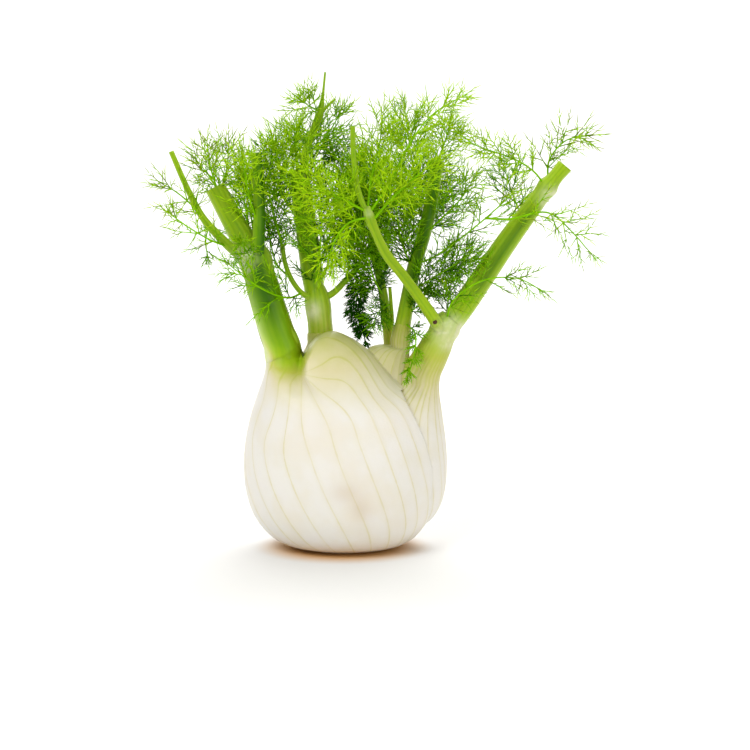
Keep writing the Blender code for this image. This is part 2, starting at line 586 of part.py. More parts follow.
def plan_leaflet(room, owner, root, way, length, rng):
    """The ten corners of a leaflet, or None where even a short one would cross something."""
    across = unit(np.cross(way, (0.0, -1.0, 0.2)))
    turn = rng.uniform(0.0, 2 * pi)
    stretch = rng.uniform(0.8, 1.1, 3)
    fork = root + STEM_SHARE * length * way
    if not room.is_free(owner, root, fork):
        return None
    radial = [
        cos(turn + k * pi / 3) * across + sin(turn + k * pi / 3) * np.cross(way, across) for k in range(6)
    ]
    tips = []
    for k in range(3):
        prong = cos(PRONG_ANGLE) * way + sin(PRONG_ANGLE) * radial[2 * k + 1]
        reaches = [share * stretch[k] * (1 - STEM_SHARE) * length for share in PRONG_SHARES]
        clear = [reach for reach in reaches if room.is_free(owner, fork, fork + reach * prong)]
        if not clear:
            return None
        tips.append(fork + clear[0] * prong)
    room.take(owner, [root, fork], np.full(2, LEAFLET_RADIUS))
    for tip in tips:
        room.take(owner, [fork, tip], np.array([LEAFLET_RADIUS, LEAFLET_RADIUS / 2]))
    foot = [root + LEAFLET_RADIUS * radial[2 * k] for k in range(3)]
    shoulder = [fork + LEAFLET_RADIUS * radial[2 * k] for k in range(3)]
    return [*foot, *shoulder, fork + CROTCH * way, *tips]


def plan_fronds(sheaths):
    """The leaflets of each frond, without those that would cross another piece."""
    room = Room(sheaths)
    for stalk, tubes in STALKS.items():
        for points in tubes:
            path, radii = tube_rows(points)
            room.take(stalk, path, radii)
    for frond in FRONDS:
        for axis in frond.axes:
            room.take(frond.name, axis, np.full(len(axis), RACHIS_RADIUS))
    planned = {frond.name: [] for frond in FRONDS}
    for seed, frond in enumerate(FRONDS):
        rng = np.random.default_rng(seed)
        for axis in frond.axes:
            for root, way, length in leaflets_of(frond, axis, rng):
                corners = plan_leaflet(room, frond.name, root, way, length, rng)
                if corners:
                    planned[frond.name].append(corners)
    return planned


def make_frond(frond, leaflets, collection, finish):
    """A frond's axes and leaflets joined in one body, cut back from the stalk that carries it."""
    first, *more = [np.array(axis, float) for axis in frond.axes]
    taper = np.linspace(RACHIS_RADIUS, RACHIS_TIP_RADIUS, len(first))
    made = tube(frond.name, first, taper, 0, collection, finish)
    repeats = new_collection("repeats")
    for i, path in enumerate(more):
        taper = np.linspace(RACHIS_RADIUS, RACHIS_TIP_RADIUS, len(path))
        tube(f"axis_{i}", path, taper, 0, repeats)
    for i, corners in enumerate(leaflets):
        leaflet(f"leaflet_{i}", corners, repeats)
    combine(made, "UNION", repeats, solver="MANIFOLD")
    tools = new_collection("carrier")
    add_stalk_tools(frond.stalk, tools, GAP)
    combine(made, "DIFFERENCE", tools, solver="MANIFOLD")
    return made


def main():
    """Builds the whole part."""
    clear_scene()
    part = new_collection("fennel_bulb")
    finishes = {name: material(name) for name in COLOURS}
    sheaths = make_sheaths(part, finishes["sheath"], finishes["root_plate"])
    for stalk in STALKS:
        make_stalk(stalk, part, finishes["stalk"])
    leaflets = plan_fronds(sheaths)
    for frond in FRONDS:
        finish = finishes["dark_frond" if frond.name == "frond_dark" else "frond"]
        make_frond(frond, leaflets[frond.name], part, finish)
    for obj in part.objects:
        if obj.name.startswith(("sheath", "stalk", "root")):
            obj.data.shade_smooth()
            obj.data.set_sharp_from_angle(angle=radians(40))


main()
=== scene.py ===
# %% [markdown]
# # A fennel bulb with its cut stalks and feathery fronds
#
# A fennel bulb is a bunch of leaves. Each leaf starts as a thick white sheath that wraps the
# younger ones, goes on as a green stalk, and ends in fronds of thread-like leaflets. This lesson
# makes each of these in turn: sheaths, stalks, fronds, the root plate, and then the studio.
#
# First come the solids that carry the weight and the collisions. They are plain, and every piece
# made below takes the place of one of them, so it is made in the same frame: metres, with +Z up,
# the flat cut at the root on Z = 0, and the broad side of the bulb towards -Y.

# %% The frame
from collections import namedtuple
from math import pi, radians

import bpy
import numpy as np
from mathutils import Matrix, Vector


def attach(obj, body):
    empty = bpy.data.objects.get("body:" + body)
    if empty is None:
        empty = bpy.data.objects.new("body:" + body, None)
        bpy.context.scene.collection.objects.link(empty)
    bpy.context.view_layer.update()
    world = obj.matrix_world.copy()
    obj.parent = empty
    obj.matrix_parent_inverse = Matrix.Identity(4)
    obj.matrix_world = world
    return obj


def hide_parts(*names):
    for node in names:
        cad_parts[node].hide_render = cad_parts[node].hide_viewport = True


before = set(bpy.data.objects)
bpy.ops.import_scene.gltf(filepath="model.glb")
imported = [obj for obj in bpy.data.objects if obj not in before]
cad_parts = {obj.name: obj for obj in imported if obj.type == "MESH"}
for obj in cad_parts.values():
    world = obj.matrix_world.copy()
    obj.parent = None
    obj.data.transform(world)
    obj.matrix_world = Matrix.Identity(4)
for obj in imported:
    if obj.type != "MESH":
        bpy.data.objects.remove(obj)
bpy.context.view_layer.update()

# %% [markdown]
# Sizes are easiest to read in millimetres, so all tables and formulas below are in millimetres,
# and one constant turns them into metres at the moment when a mesh is made.
#
# Two helpers do most of the work. The first draws a smooth curve through a few chosen points, so
# that a table needs only the points where the shape really turns. The second turns any grid of
# points into a closed skin. With these two, a whole sheath or stalk is one array of points.

# %% A smooth curve through a few points
MM = 0.001


def through(points, count):
    """A smooth curve of count rows through the rows of points.

    Each span is the cubic that starts and ends at its two points, with the slope at each point
    taken from the line between its neighbours.
    """
    p = np.array(points, float)
    chord = np.linalg.norm(np.diff(p, axis=0), axis=1)
    t = np.concatenate([[0.0], np.cumsum(chord)])
    slope = np.gradient(p, t, axis=0)
    at = np.linspace(0.0, t[-1], count)
    span = np.clip(np.searchsorted(t, at, side="right") - 1, 0, len(p) - 2)
    h = (t[span + 1] - t[span])[:, None]
    u = (at - t[span])[:, None] / h
    return (
        (2 * u**3 - 3 * u**2 + 1) * p[span]
        + (u**3 - 2 * u**2 + u) * h * slope[span]
        + (3 * u**2 - 2 * u**3) * p[span + 1]
        + (u**3 - u**2) * h * slope[span + 1]
    )


def unit(v):
    """Vectors scaled to length one."""
    return v / np.linalg.norm(v, axis=-1, keepdims=True)


def smoothstep(x):
    """0 below 0, 1 above 1, and the cubic 3x^2 - 2x^3 between them."""
    x = np.clip(x, 0.0, 1.0)
    return x * x * (3 - 2 * x)


def fade(x, start, end):
    """A smooth step from 0 where x is start to 1 where x is end."""
    return smoothstep((x - start) / (end - start))


def turned(angle, u, v):
    """The direction cos a U + sin a V for each angle a, from U towards V."""
    return np.cos(angle)[..., None] * u + np.sin(angle)[..., None] * v


print("a curve through 3 points, 5 rows:", through([(0, 0), (1, 1), (2, 0)], 5).round(2).tolist())

# %% A closed skin over a grid of rings


def add_object(name, data):
    """A new object in the scene."""
    made = bpy.data.objects.new(name, data)
    bpy.context.scene.collection.objects.link(made)
    return made


def fill_mesh(name, points, corners, sizes):
    """A smooth mesh from points in millimetres, the corners of all faces in a row, and their counts."""
    mesh = bpy.data.meshes.new(name)
    mesh.vertices.add(len(points))
    mesh.vertices.foreach_set("co", (points * MM).astype(np.float32).ravel())
    mesh.loops.add(len(corners))
    mesh.loops.foreach_set("vertex_index", corners.astype(np.int32))
    mesh.polygons.add(len(sizes))
    starts = np.concatenate([[0], np.cumsum(sizes)[:-1]])
    mesh.polygons.foreach_set("loop_start", starts.astype(np.int32))
    mesh.update(calc_edges=True)
    mesh.shade_smooth()
    return mesh


def store(mesh, key, value):
    """Stores one number for each point of a mesh, where its material can read it."""
    layer = mesh.attributes.new(key, "FLOAT", "POINT")
    layer.data.foreach_set("value", value.astype(np.float32))


def skin(name, grid, stripes, **values):
    """A closed skin over grid[row, column], whose first and last rings are closed by fans.

    The columns run anticlockwise round the way the rows go, so the faces point outwards.
    stripes[row, column] is the first coordinate of the UV map, with one column more than the grid,
    and the second is the row. Each of values is stored as an attribute of the points.
    """
    rows, columns = grid.shape[:2]
    i, k = (a.ravel() for a in np.mgrid[0 : rows - 1, 0:columns])
    n = (k + 1) % columns
    low, high = i * columns, (i + 1) * columns
    quads = np.stack([low + k, low + n, high + n, high + k], 1)
    k1 = np.arange(columns)
    n1 = (k1 + 1) % columns
    last = (rows - 1) * columns
    foot = np.stack([np.full(columns, rows * columns), n1, k1], 1)
    head = np.stack([np.full(columns, rows * columns + 1), last + k1, last + n1], 1)
    corners = np.concatenate([quads.ravel(), foot.ravel(), head.ravel()])
    sizes = np.concatenate([np.full(len(quads), 4), np.full(2 * columns, 3)])
    points = np.vstack([grid.reshape(-1, 3), grid[0].mean(0), grid[-1].mean(0)])
    mesh = fill_mesh(name, points, corners, sizes)

    across = np.stack([stripes[i, k], stripes[i, k + 1], stripes[i + 1, k + 1], stripes[i + 1, k]], 1)
    along = np.stack([i, i, i + 1, i + 1], 1) / (rows - 1)
    ends = np.stack([stripes[0, k1], stripes[0, k1 + 1], stripes[0, k1]], 1)
    tops = np.stack([stripes[-1, k1], stripes[-1, k1], stripes[-1, k1 + 1]], 1)
    u = np.concatenate([across.ravel(), ends.ravel(), tops.ravel()])
    v = np.concatenate([along.ravel(), np.zeros(3 * columns), np.ones(3 * columns)])
    layer = mesh.uv_layers.new(name="stripes")
    layer.data.foreach_set("uv", np.stack([u, v], 1).astype(np.float32).ravel())
    for key, value in values.items():
        filled = np.broadcast_to(value, (rows, columns))
        store(mesh, key, np.concatenate([filled.ravel(), [filled[0].mean(), filled[-1].mean()]]))
    return mesh


def place(name, mesh, finish, slot, *nodes):
    """Puts a mesh in the scene as a piece that stands for the named nodes."""
    mesh.materials.append(finish)
    piece = add_object(name, mesh)
    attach(piece, "root")
    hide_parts(*nodes)


ring_angle = np.linspace(0, 2 * pi, 6, endpoint=False)
ring = np.stack([np.cos(ring_angle), np.sin(ring_angle), 0 * ring_angle], 1)
sample = skin("sample", np.stack([ring, ring + (0, 0, 1)]), np.zeros((2, 7)))
print("two rings of six make", len(sample.polygons), "faces")
bpy.data.meshes.remove(sample)

# %% [markdown]
# ## Materials
#
# A material here is a small network of nodes. It could be painted on an image, but a formula stays
# sharp at any distance and needs no file. The patterns follow the plant: they read the stripes of
# the UV map, which run up each sheath and stalk, or a value stored on the points, such as how green
# the plant is there. Cloudy changes of colour read the place in space, so nothing repeats.

# %% Node helpers


class Network:
    """A material under construction, with a short call for each kind of node."""

    def __init__(self, name):
        self.material = bpy.data.materials.new(name)
        self.material.use_nodes = True
        self.tree = self.material.node_tree
        self.surface = self.tree.nodes["Principled BSDF"]

    def node(self, kind, inputs=(), **settings):
        """A node with its inputs set, or linked where a value is a socket."""
        made = self.tree.nodes.new(kind)
        for key, value in settings.items():
            setattr(made, key, value)
        for key, value in dict(inputs).items():
            self.feed(made.inputs[key], value)
        return made

    def feed(self, socket, value):
        """Sets a socket, or links it where the value is another node's socket."""
        if isinstance(value, bpy.types.NodeSocket):
            self.tree.links.new(value, socket)
        else:
            socket.default_value = (*value, 1.0) if socket.type == "RGBA" else value

    def maths(self, operation, a, b=0.0):
        """One step of arithmetic on two numbers."""
        return self.node("ShaderNodeMath", {0: a, 1: b}, operation=operation).outputs[0]

    def plus(self, a, b):
        """The sum of two numbers."""
        return self.maths("ADD", a, b)

    def times(self, a, b):
        """The product of two numbers."""
        return self.maths("MULTIPLY", a, b)

    def from_half(self, value):
        """How far the fraction of a value is from one half."""
        return self.maths("ABSOLUTE", self.maths("SUBTRACT", self.maths("FRACT", value), 0.5))

    def stored(self, name):
        """A value stored on the mesh's points."""
        return self.node("ShaderNodeAttribute", attribute_name=name).outputs["Fac"]

    def stripes(self):
        """The first coordinate of the stripes' UV map."""
        uv = self.node("ShaderNodeUVMap", uv_map="stripes").outputs[0]
        return self.node("ShaderNodeSeparateXYZ", {0: uv}).outputs[0]

    def clouds(self, scale, detail=3.0):
        """Soft noise through space. A scale of 1 has one patch to a metre."""
        where = self.node("ShaderNodeTexCoord").outputs["Object"]
        inputs = {"Vector": where, "Scale": scale, "Detail": detail}
        return self.node("ShaderNodeTexNoise", inputs).outputs[0]

    def ramp(self, value, low, high, start=0.0, end=1.0):
        """The value carried smoothly from the range low to high to the range start to end."""
        inputs = {"Value": value, "From Min": low, "From Max": high, "To Min": start, "To Max": end}
        return self.node("ShaderNodeMapRange", inputs, interpolation_type="SMOOTHSTEP").outputs[0]

    def stops(self, value, *stops):
        """The colour that a value picks from (value, colour) stops, blended between them."""
        made = self.node("ShaderNodeValToRGB", {0: value})
        ramp = made.color_ramp
        while len(ramp.elements) < len(stops):
            ramp.elements.new(1.0)
        for element, (at, colour) in zip(ramp.elements, stops):
            element.position = at
            element.color = (*colour, 1.0)
        return made.outputs[0]

    def mix(self, share, first, second):
        """A colour between two colours."""
        mixer = self.node("ShaderNodeMix", {0: share, 6: first, 7: second}, data_type="RGBA")
        return mixer.outputs[2]

    def layers(self, colour, *layers):
        """A colour with (share, colour) layers laid over it, one after the other."""
        for share, laid in layers:
            colour = self.mix(share, colour, laid)
        return colour

    def bump(self, height, depth):
        """Fine relief: the surface leans as if raised by height times depth, in metres."""
        return self.node("ShaderNodeBump", {"Height": height, "Distance": depth}).outputs[0]

    def finish(self, colour, roughness, normal=None, **constants):
        """Feeds the surface's sockets and gives back the material."""
        self.feed(self.surface.inputs["Base Color"], colour)
        self.feed(self.surface.inputs["Roughness"], roughness)
        if normal:
            self.feed(self.surface.inputs["Normal"], normal)
        for key, value in constants.items():
            self.feed(self.surface.inputs[key.replace("_", " ")], value)
        return self.material


print("the surface has", len(Network("trial").surface.inputs), "sockets")
bpy.data.materials.remove(bpy.data.materials["trial"])

# %% [markdown]
# ## Sheaths
#
# The skin of a sheath is creamy white and satin, like wet paper, with thin greenish-tan veins that
# run from the root to the stalk. The veins are drawn where the stripes' coordinate is half way
# between two whole numbers. Each point also stores how many millimetres lie between two veins
# there, so a vein keeps its width while the sheath swells and narrows.
#
# One value, green, carries the whole plant from root to leaf: at 0 the skin is cream, then straw,
# then yellow-green, and at 1 it is the green of the stalks. Sheaths and stalks share this scale,
# so that the colour runs on where one grows into the other.

# %% The skin of a sheath

# The colours that the value green picks from
GREENING_SCALE = (
    (0.0, (0.775, 0.76, 0.715)),
    (0.3, (0.66, 0.61, 0.36)),
    (0.5, (0.48, 0.50, 0.08)),
    (0.7, (0.32, 0.49, 0.006)),
    (1.0, (0.15, 0.34, 0.0)),
)
PAINTED_LIT_EDGE = (0.64, 0.80, 0.26)
PAINTED_SHADED_EDGE = (0.24, 0.25, 0.0)
PAINTED_SHADE_DARK_GREEN = (0.03, 0.13, 0.001)
PALE_COLLAR = (0.74, 0.74, 0.50)
TAN_CLOUDS = (0.78, 0.72, 0.63)
CORKY_TAN = (0.60, 0.49, 0.35)


def collar_layer(net):
    """The pale, streaky collar, as a layer."""
    streaks = net.ramp(net.clouds(230.0), 0.35, 0.65, 0.45, 0.85)
    return net.times(net.stored("pale"), streaks), PALE_COLLAR


def sheath_skin():
    """Skin coloured by the value green, with veins a shade greener and a few tan clouds.

    A vein covers what lies within its width, which wanders, and has a soft halo. Towards the stalk
    a rib between every two veins turns darker, and the marks of the stalk's own skin begin: painted
    light on its outer side, and painted shade on its right side and in its groove.
    """
    net = Network("fennel sheath skin")
    green = net.stored("green")
    mottled = net.plus(green, net.ramp(net.clouds(70.0), 0.3, 0.7, -0.02, 0.05))
    deeper = net.plus(green, net.ramp(green, 0.0, 0.4, 0.25, 0.11))
    deeper = net.stops(deeper, *GREENING_SCALE)
    cloudy = net.times(net.ramp(net.clouds(34.0), 0.42, 0.72), net.ramp(green, 0.05, 0.4, 0.4, 0.0))

    away = net.times(net.from_half(net.stripes()), net.stored("pitch"))
    width = net.ramp(net.clouds(260.0), 0.35, 0.7, 0.6, 1.2)
    width = net.times(width, net.ramp(green, 0.05, 0.4, 1.0, 1.5))
    halo = net.ramp(away, 0.2, 2.6, 1.0, 0.0)
    vein = net.ramp(net.maths("DIVIDE", away, width), 0.08, 0.62, 1.0, 0.0)
    vein = net.times(vein, net.ramp(net.clouds(60.0), 0.25, 0.65, 0.3, 0.85))
    vein = net.times(vein, net.ramp(green, 0.4, 0.62, 1.0, 0.25))
    rib = net.ramp(net.from_half(net.times(net.stripes(), 2.0)), 0.05, 0.4, 0.5, 0.0)

    colour = net.layers(
        net.stops(mottled, *GREENING_SCALE),
        (cloudy, TAN_CLOUDS),
        (net.times(halo, 0.14), deeper),
        (vein, deeper),
        (net.times(rib, net.ramp(green, 0.4, 0.7)), deeper),
        # Painted light: side makes the outer, left side of the stalk's foot paler; painted shade: below
        # zero it makes the right side olive
        (net.times(net.stored("side"), 0.9), PAINTED_LIT_EDGE),
        (net.ramp(net.stored("side"), -1.0, -0.1, 0.6, 0.0), PAINTED_SHADED_EDGE),
        # Painted shade in the channel up the stalk's front
        (net.times(net.stored("channel"), 0.85), PAINTED_SHADE_DARK_GREEN),
        collar_layer(net),
        (net.times(net.stored("tan"), 0.42), CORKY_TAN),
    )
    return net.finish(
        colour,
        net.ramp(net.clouds(120.0), 0.3, 0.7, 0.30, 0.44),
        net.bump(net.clouds(900.0, 2.0), 0.00006),
        Subsurface_Weight=0.15,
        Subsurface_Radius=(0.004, 0.0035, 0.002),
        Subsurface_Scale=1.0,
        Specular_IOR_Level=0.15,
        Coat_Weight=0.04,
        Coat_Roughness=0.25,
    )


sheath_finish = sheath_skin()
print("sheath skin:", len(sheath_finish.node_tree.nodes), "nodes")

# %% [markdown]
# A sheath is lofted through elliptical rings. A ring lies from its left end to its right end, both
# (x, z), has its middle at middle_y, and reaches half_depth to the front and to the back. Tilting
# the rings is what lets the bulb grow lopsided: on the outermost sheath the left ends stop at the
# neck of the stalk while the right ends climb on over the hump, so the veins fan out from the neck.
#
# The sheaths are nested like cups. Only the outermost shows its whole front, and the others show
# where it leaves them bare, so whole lofts can simply stand inside each other.

# %% The rings of the four sheaths
Ring = namedtuple("Ring", "left right middle_y half_depth")

LEFT_SHEATH = [
    Ring((-22.5, 0.8), (24.5, 0.8), 0.0, 18.5),
    Ring((-28.5, 2.6), (30.0, 2.8), 0.0, 24.0),
    Ring((-35.5, 7.0), (35.5, 7.5), 0.0, 29.5),
    Ring((-41.5, 14.5), (40.8, 15.0), 0.0, 33.5),
    Ring((-45.9, 27.0), (44.5, 28.0), 0.0, 36.0),
    Ring((-47.2, 41.0), (45.0, 42.0), 0.0, 36.5),
    Ring((-46.0, 53.0), (42.9, 56.0), -0.5, 35.0),
    Ring((-43.5, 64.0), (38.0, 69.0), -1.0, 32.0),
    Ring((-40.5, 73.0), (27.0, 79.0), -2.0, 28.5),
    Ring((-38.2, 79.5), (18.5, 88.0), -3.0, 25.0),
    Ring((-36.9, 83.5), (11.0, 95.5), -4.0, 21.5),
    Ring((-36.4, 86.0), (3.0, 101.0), -5.0, 18.0),
    Ring((-36.2, 87.5), (-5.5, 104.0), -5.0, 15.0),
    Ring((-36.2, 88.4), (-12.5, 102.5), -4.5, 12.5),
    Ring((-36.3, 89.1), (-17.0, 97.5), -3.5, 10.3),
    Ring((-36.5, 89.8), (-18.8, 91.0), -3.0, 9.0),
]

RIGHT_SHEATH = [
    Ring((-12.0, 2.4), (26.0, 2.4), 0.0, 14.0),
    Ring((-20.0, 6.0), (35.3, 8.5), 0.0, 18.5),
    Ring((-24.0, 12.5), (43.2, 15.5), 0.0, 22.0),
    Ring((-27.0, 24.0), (47.8, 26.0), 0.0, 24.0),
    Ring((-26.0, 38.0), (49.0, 38.0), 0.0, 24.5),
    Ring((-17.0, 49.0), (48.6, 49.5), 0.0, 23.5),
    Ring((-5.0, 57.5), (47.5, 58.5), 0.0, 20.8),
    Ring((6.5, 65.0), (46.3, 66.5), 0.0, 17.2),
    Ring((16.0, 71.0), (45.5, 72.0), 0.0, 13.6),
    Ring((22.5, 75.5), (45.2, 76.0), 0.0, 11.0),
    Ring((26.2, 79.0), (45.2, 78.5), 0.0, 9.8),
]

INNER_LEFT_SHEATH = [
    Ring((-20.0, 5.0), (12.0, 5.0), 6.0, 12.0),
    Ring((-30.0, 16.0), (22.0, 16.0), 7.0, 18.0),
    Ring((-34.0, 36.0), (27.0, 38.0), 8.0, 20.0),
    Ring((-32.0, 54.0), (24.0, 58.0), 8.5, 20.0),
    Ring((-28.0, 70.0), (16.0, 76.0), 10.0, 19.0),
    Ring((-24.0, 82.0), (9.0, 90.0), 11.0, 16.0),
    Ring((-20.5, 90.0), (3.0, 97.5), 12.0, 12.0),
    Ring((-18.0, 94.0), (-2.0, 99.5), 12.0, 9.0),
    Ring((-17.0, 97.0), (-4.3, 98.5), 12.0, 6.6),
]

INNER_RIGHT_SHEATH = [
    Ring((-10.0, 4.6), (16.0, 4.6), 2.0, 10.0),
    Ring((-18.0, 14.0), (29.0, 14.0), 2.0, 15.0),
    Ring((-20.0, 36.0), (35.0, 36.0), 2.0, 17.5),
    Ring((-16.0, 54.0), (36.0, 54.0), 3.0, 17.0),
    Ring((-8.0, 70.0), (34.0, 68.0), 3.5, 14.5),
    Ring((2.0, 84.0), (31.8, 80.0), 4.0, 11.5),
    Ring((9.0, 92.0), (31.3, 87.0), 4.5, 9.5),
    Ring((14.0, 95.6), (31.2, 91.0), 5.0, 7.8),
    Ring((19.0, 96.2), (31.3, 93.5), 5.5, 6.0),
    Ring((22.6, 95.2), (31.4, 95.0), 6.0, 4.6),
]

for name, rings in (("left", LEFT_SHEATH), ("right", RIGHT_SHEATH)):
    wide = max(r.right[0] for r in rings) - min(r.left[0] for r in rings)
    print(f"the {name} sheath is {wide:.0f} mm wide")

# %% [markdown]
# A sheath doesn't stop at its stalk: it closes round the foot and its skin runs on into the stalk's.
# So each loft gets a few rings more that follow the stalk's line, just outside it at first and
# inside it at the last, and the two skins meet without a step. That needs the stalks' lines, which
# are given here as points (x, y, z, radius) from root to cut end.

# %% The lines of the stalks
STALKS = {
    "stalk_left": [
        [(-27.7, -3.0, 90.8, 8.7), (-28.1, -3.0, 95.5, 8.4), (-30.8, -3.0, 103.0, 8.0),
         (-35.5, -3.0, 118.0, 7.6), (-39.8, -3.0, 133.0, 7.4), (-41.2, -3.0, 138.0, 7.9),
         (-42.4, -3.0, 142.0, 6.4)],
        [(-41.0, -3.0, 134.0, 5.0), (-45.5, -2.5, 145.0, 5.7), (-52.0, -2.0, 157.0, 5.2),
         (-59.5, -1.0, 171.0, 4.7)],
        [(-39.6, -6.5, 135.0, 2.6), (-39.0, -8.5, 146.0, 2.9), (-38.6, -9.0, 163.0, 2.7),
         (-39.6, -9.0, 187.5, 2.5)],
        [(-43.0, -6.5, 135.0, 2.4), (-50.0, -8.5, 141.5, 2.3), (-56.5, -9.5, 148.0, 2.1),
         (-64.0, -10.0, 156.5, 1.7), (-71.0, -10.0, 169.5, 1.4), (-79.0, -10.0, 188.0, 1.2)],
    ],
    "stalk_right": [
        [(35.9, 0.0, 78.3, 9.2), (36.6, 0.0, 83.0, 8.5), (38.7, 0.0, 87.0, 7.9),
         (41.8, 0.0, 92.5, 7.3), (46.0, 0.0, 101.0, 6.7), (48.6, 0.0, 106.0, 7.1),
         (51.2, 0.0, 109.5, 5.6)],
        [(47.5, 0.0, 102.5, 5.0), (56.0, 0.0, 114.5, 5.4), (66.0, 0.0, 129.5, 5.3),
         (76.0, 0.0, 144.5, 5.0), (86.0, 0.0, 158.5, 4.6), (93.5, 0.0, 168.5, 4.4),
         (95.6, 0.0, 171.3, 4.9), (97.4, 0.0, 173.6, 3.9), (103.5, 0.0, 181.0, 3.7)],
        [(46.5, -2.0, 103.0, 3.4), (42.8, -7.0, 109.5, 3.0), (34.2, -14.0, 122.5, 2.5),
         (27.5, -19.0, 132.0, 2.4), (20.0, -23.5, 142.0, 2.3), (15.0, -26.5, 152.5, 2.1),
         (12.0, -28.0, 160.5, 2.3), (11.0, -28.2, 163.5, 1.6)],
        [(11.8, -28.0, 159.5, 1.4), (8.2, -27.5, 168.0, 1.3), (5.4, -27.0, 184.0, 1.2),
         (4.9, -27.0, 200.0, 1.1)],
    ],
    "stalk_middle": [
        [(-10.6, 12.0, 98.2, 6.0), (-11.3, 12.0, 107.0, 5.8), (-12.2, 12.0, 115.0, 6.1),
         (-12.8, 12.0, 119.5, 5.5), (-13.6, 12.0, 124.5, 3.8)],
        [(-13.0, 12.0, 116.0, 4.4), (-15.0, 12.0, 128.0, 4.7), (-17.5, 12.0, 145.0, 4.4),
         (-20.0, 12.0, 162.0, 4.0), (-21.8, 12.0, 178.5, 3.7)],
        [(-11.0, 15.5, 115.0, 2.4), (-13.5, 20.0, 140.0, 2.4), (-17.0, 21.0, 165.0, 2.2),
         (-17.9, 19.0, 186.0, 2.0), (-13.5, 17.0, 198.0, 1.9), (-10.8, 16.0, 205.0, 1.8),
         (-9.6, 15.0, 212.5, 0.8), (-8.4, 15.0, 224.0, 0.5)],
        [(-11.0, 16.0, 204.0, 0.9), (-7.5, 15.0, 208.0, 0.7), (-3.6, 14.5, 211.5, 0.5)],
        [(-15.0, 10.0, 117.5, 1.6), (-19.5, 7.5, 120.5, 1.3), (-24.5, 5.5, 127.5, 1.2),
         (-27.5, 4.5, 136.0, 1.1), (-28.5, 4.0, 144.0, 1.0)],
        [(-9.5, 12.0, 117.5, 1.8), (-5.0, 12.0, 120.0, 1.6), (1.0, 12.0, 126.0, 1.5),
         (6.6, 12.0, 132.0, 1.3)],
    ],
    "stalk_back": [
        [(27.0, 6.0, 95.6, 4.2), (27.1, 6.0, 98.5, 4.0), (28.1, 6.5, 105.0, 3.7),
         (31.0, 7.5, 120.5, 3.4), (34.3, 8.0, 136.0, 3.3), (38.0, 8.0, 148.0, 3.2),
         (41.8, 8.0, 166.0, 3.1), (44.3, 8.0, 183.0, 2.9)],
    ],
    "stalk_heart": [
        [(20.0, 15.0, 62.0, 1.4), (21.4, 16.0, 82.0, 2.0), (21.4, 16.0, 96.0, 2.3),
         (20.2, 16.0, 109.0, 2.3), (18.4, 15.5, 122.0, 2.1), (15.5, 15.0, 135.0, 2.0),
         (13.5, 15.0, 146.0, 1.7)],
        [(21.4, 15.5, 98.0, 1.2), (23.0, 13.0, 105.0, 1.0), (22.6, 12.0, 115.0, 0.9),
         (22.0, 12.0, 123.0, 0.8)],
    ],
}

# Below its visible foot the left stalk goes on down inside the sheath
LEFT_ROOT = [(-26.6, -3.0, 66.0, 6.5), (-27.4, -3.0, 76.0, 7.4), (-27.8, -3.0, 84.0, 7.8)]

# The collars, as (x, y, z), the radius within which each is wholly pale, and how far it fades
COLLARS = np.array([(-46, -8, 138), (-15, 6, 112), (50.5, -4, 102.5), (96.5, -3, 166), (12, -29, 161)])
COLLAR_RADIUS = np.array([3.0, 0.5, 4.0, 2.5, 0.0])
COLLAR_FADE = np.array([3.2, 4.0, 4.5, 3.0, 1.6])

print("stalks and branches:", sum(len(tubes) for tubes in STALKS.values()))

# %% [markdown]
# The outermost sheath needs three more touches. Past its edge on the right it dives under, so the
# sheath next to it comes out, and the edge itself stands a little proud. The hump beside its stalk
# is rounded off towards the stalk. And before the stalk's foot its skin is drawn back to the
# stalk's, so that the stalk grows out of the shoulder without a step.

# %% The form of a sheath

# Where the front sheath's edge crosses the right one, as heights and the x there
EDGE_Z = (4.0, 7.0, 11.8, 20.0, 32.9, 40.4, 44.2, 53.6, 63.5, 76.6, 80.0)
EDGE_X = (33.0, 34.3, 38.1, 40.6, 41.4, 41.4, 40.4, 38.1, 33.8, 26.8, 60.0)
EDGE_LIP = 0.6
EDGE_DIVE = 3.0

# The notch between the left stalk and the hump, as x and the greatest height there: up the right
# side of the stalk on one side, and up the hump's outline on the other
NOTCH_X = (-33.0, -31.8, -27.3, -22.2, -19.6, -19.0, -18.6, -17.8, -16.0, -12.2, -5.3, 0.0)
NOTCH_Z = (140.0, 133.0, 118.0, 103.0, 95.5, 92.5, 92.0, 93.5, 97.0, 101.0, 105.0, 112.0)
HUMP_BLEND = 0.8

# How far the skin lies outside its stalk's tube: at the foot, near the sleeve's end, and at it
STALK_COVER = 0.55
THIN_COVER = 0.35
END_COVER = -0.7

# The stalk's foot spreads downwards: the radius of its front at these heights
FLARE_Z = (62.0, 70.0, 76.0, 80.0, 84.0, 88.0, 92.0, 96.0)
FLARE_RADIUS = (32.0, 26.5, 21.5, 17.8, 14.2, 11.2, 9.2, 8.0)
FLARE_BLEND = 2.2

# The web between the stalk and the hump is this deep, and ends between these heights
WEB_DEPTH = 6.5
WEB_TOP = (97.0, 91.0)

# The heights between which the drawing back before the stalk's foot grows, and those where it ends
DRAWN_FROM = (62.0, 84.0)
DRAWN_TO = (112.0, 106.0)

# The hollow before the stalk's foot: its edge and how far it slopes, at these heights
HOLLOW_Z = (62.0, 70.0, 78.0, 85.0, 92.0, 101.0)
HOLLOW_EDGE = (6.0, -2.0, -10.0, -16.5, -16.0, -12.0)
HOLLOW_SLOPE = (34.0, 26.0, 14.0, 5.0, 4.0, 4.0)


def stalk_at(z, stalk):
    """The stalk's x, y and radius at each height."""
    rows = through(stalk, 200)
    return (np.interp(z, rows[:, 2], rows[:, c]) for c in (0, 1, 3))


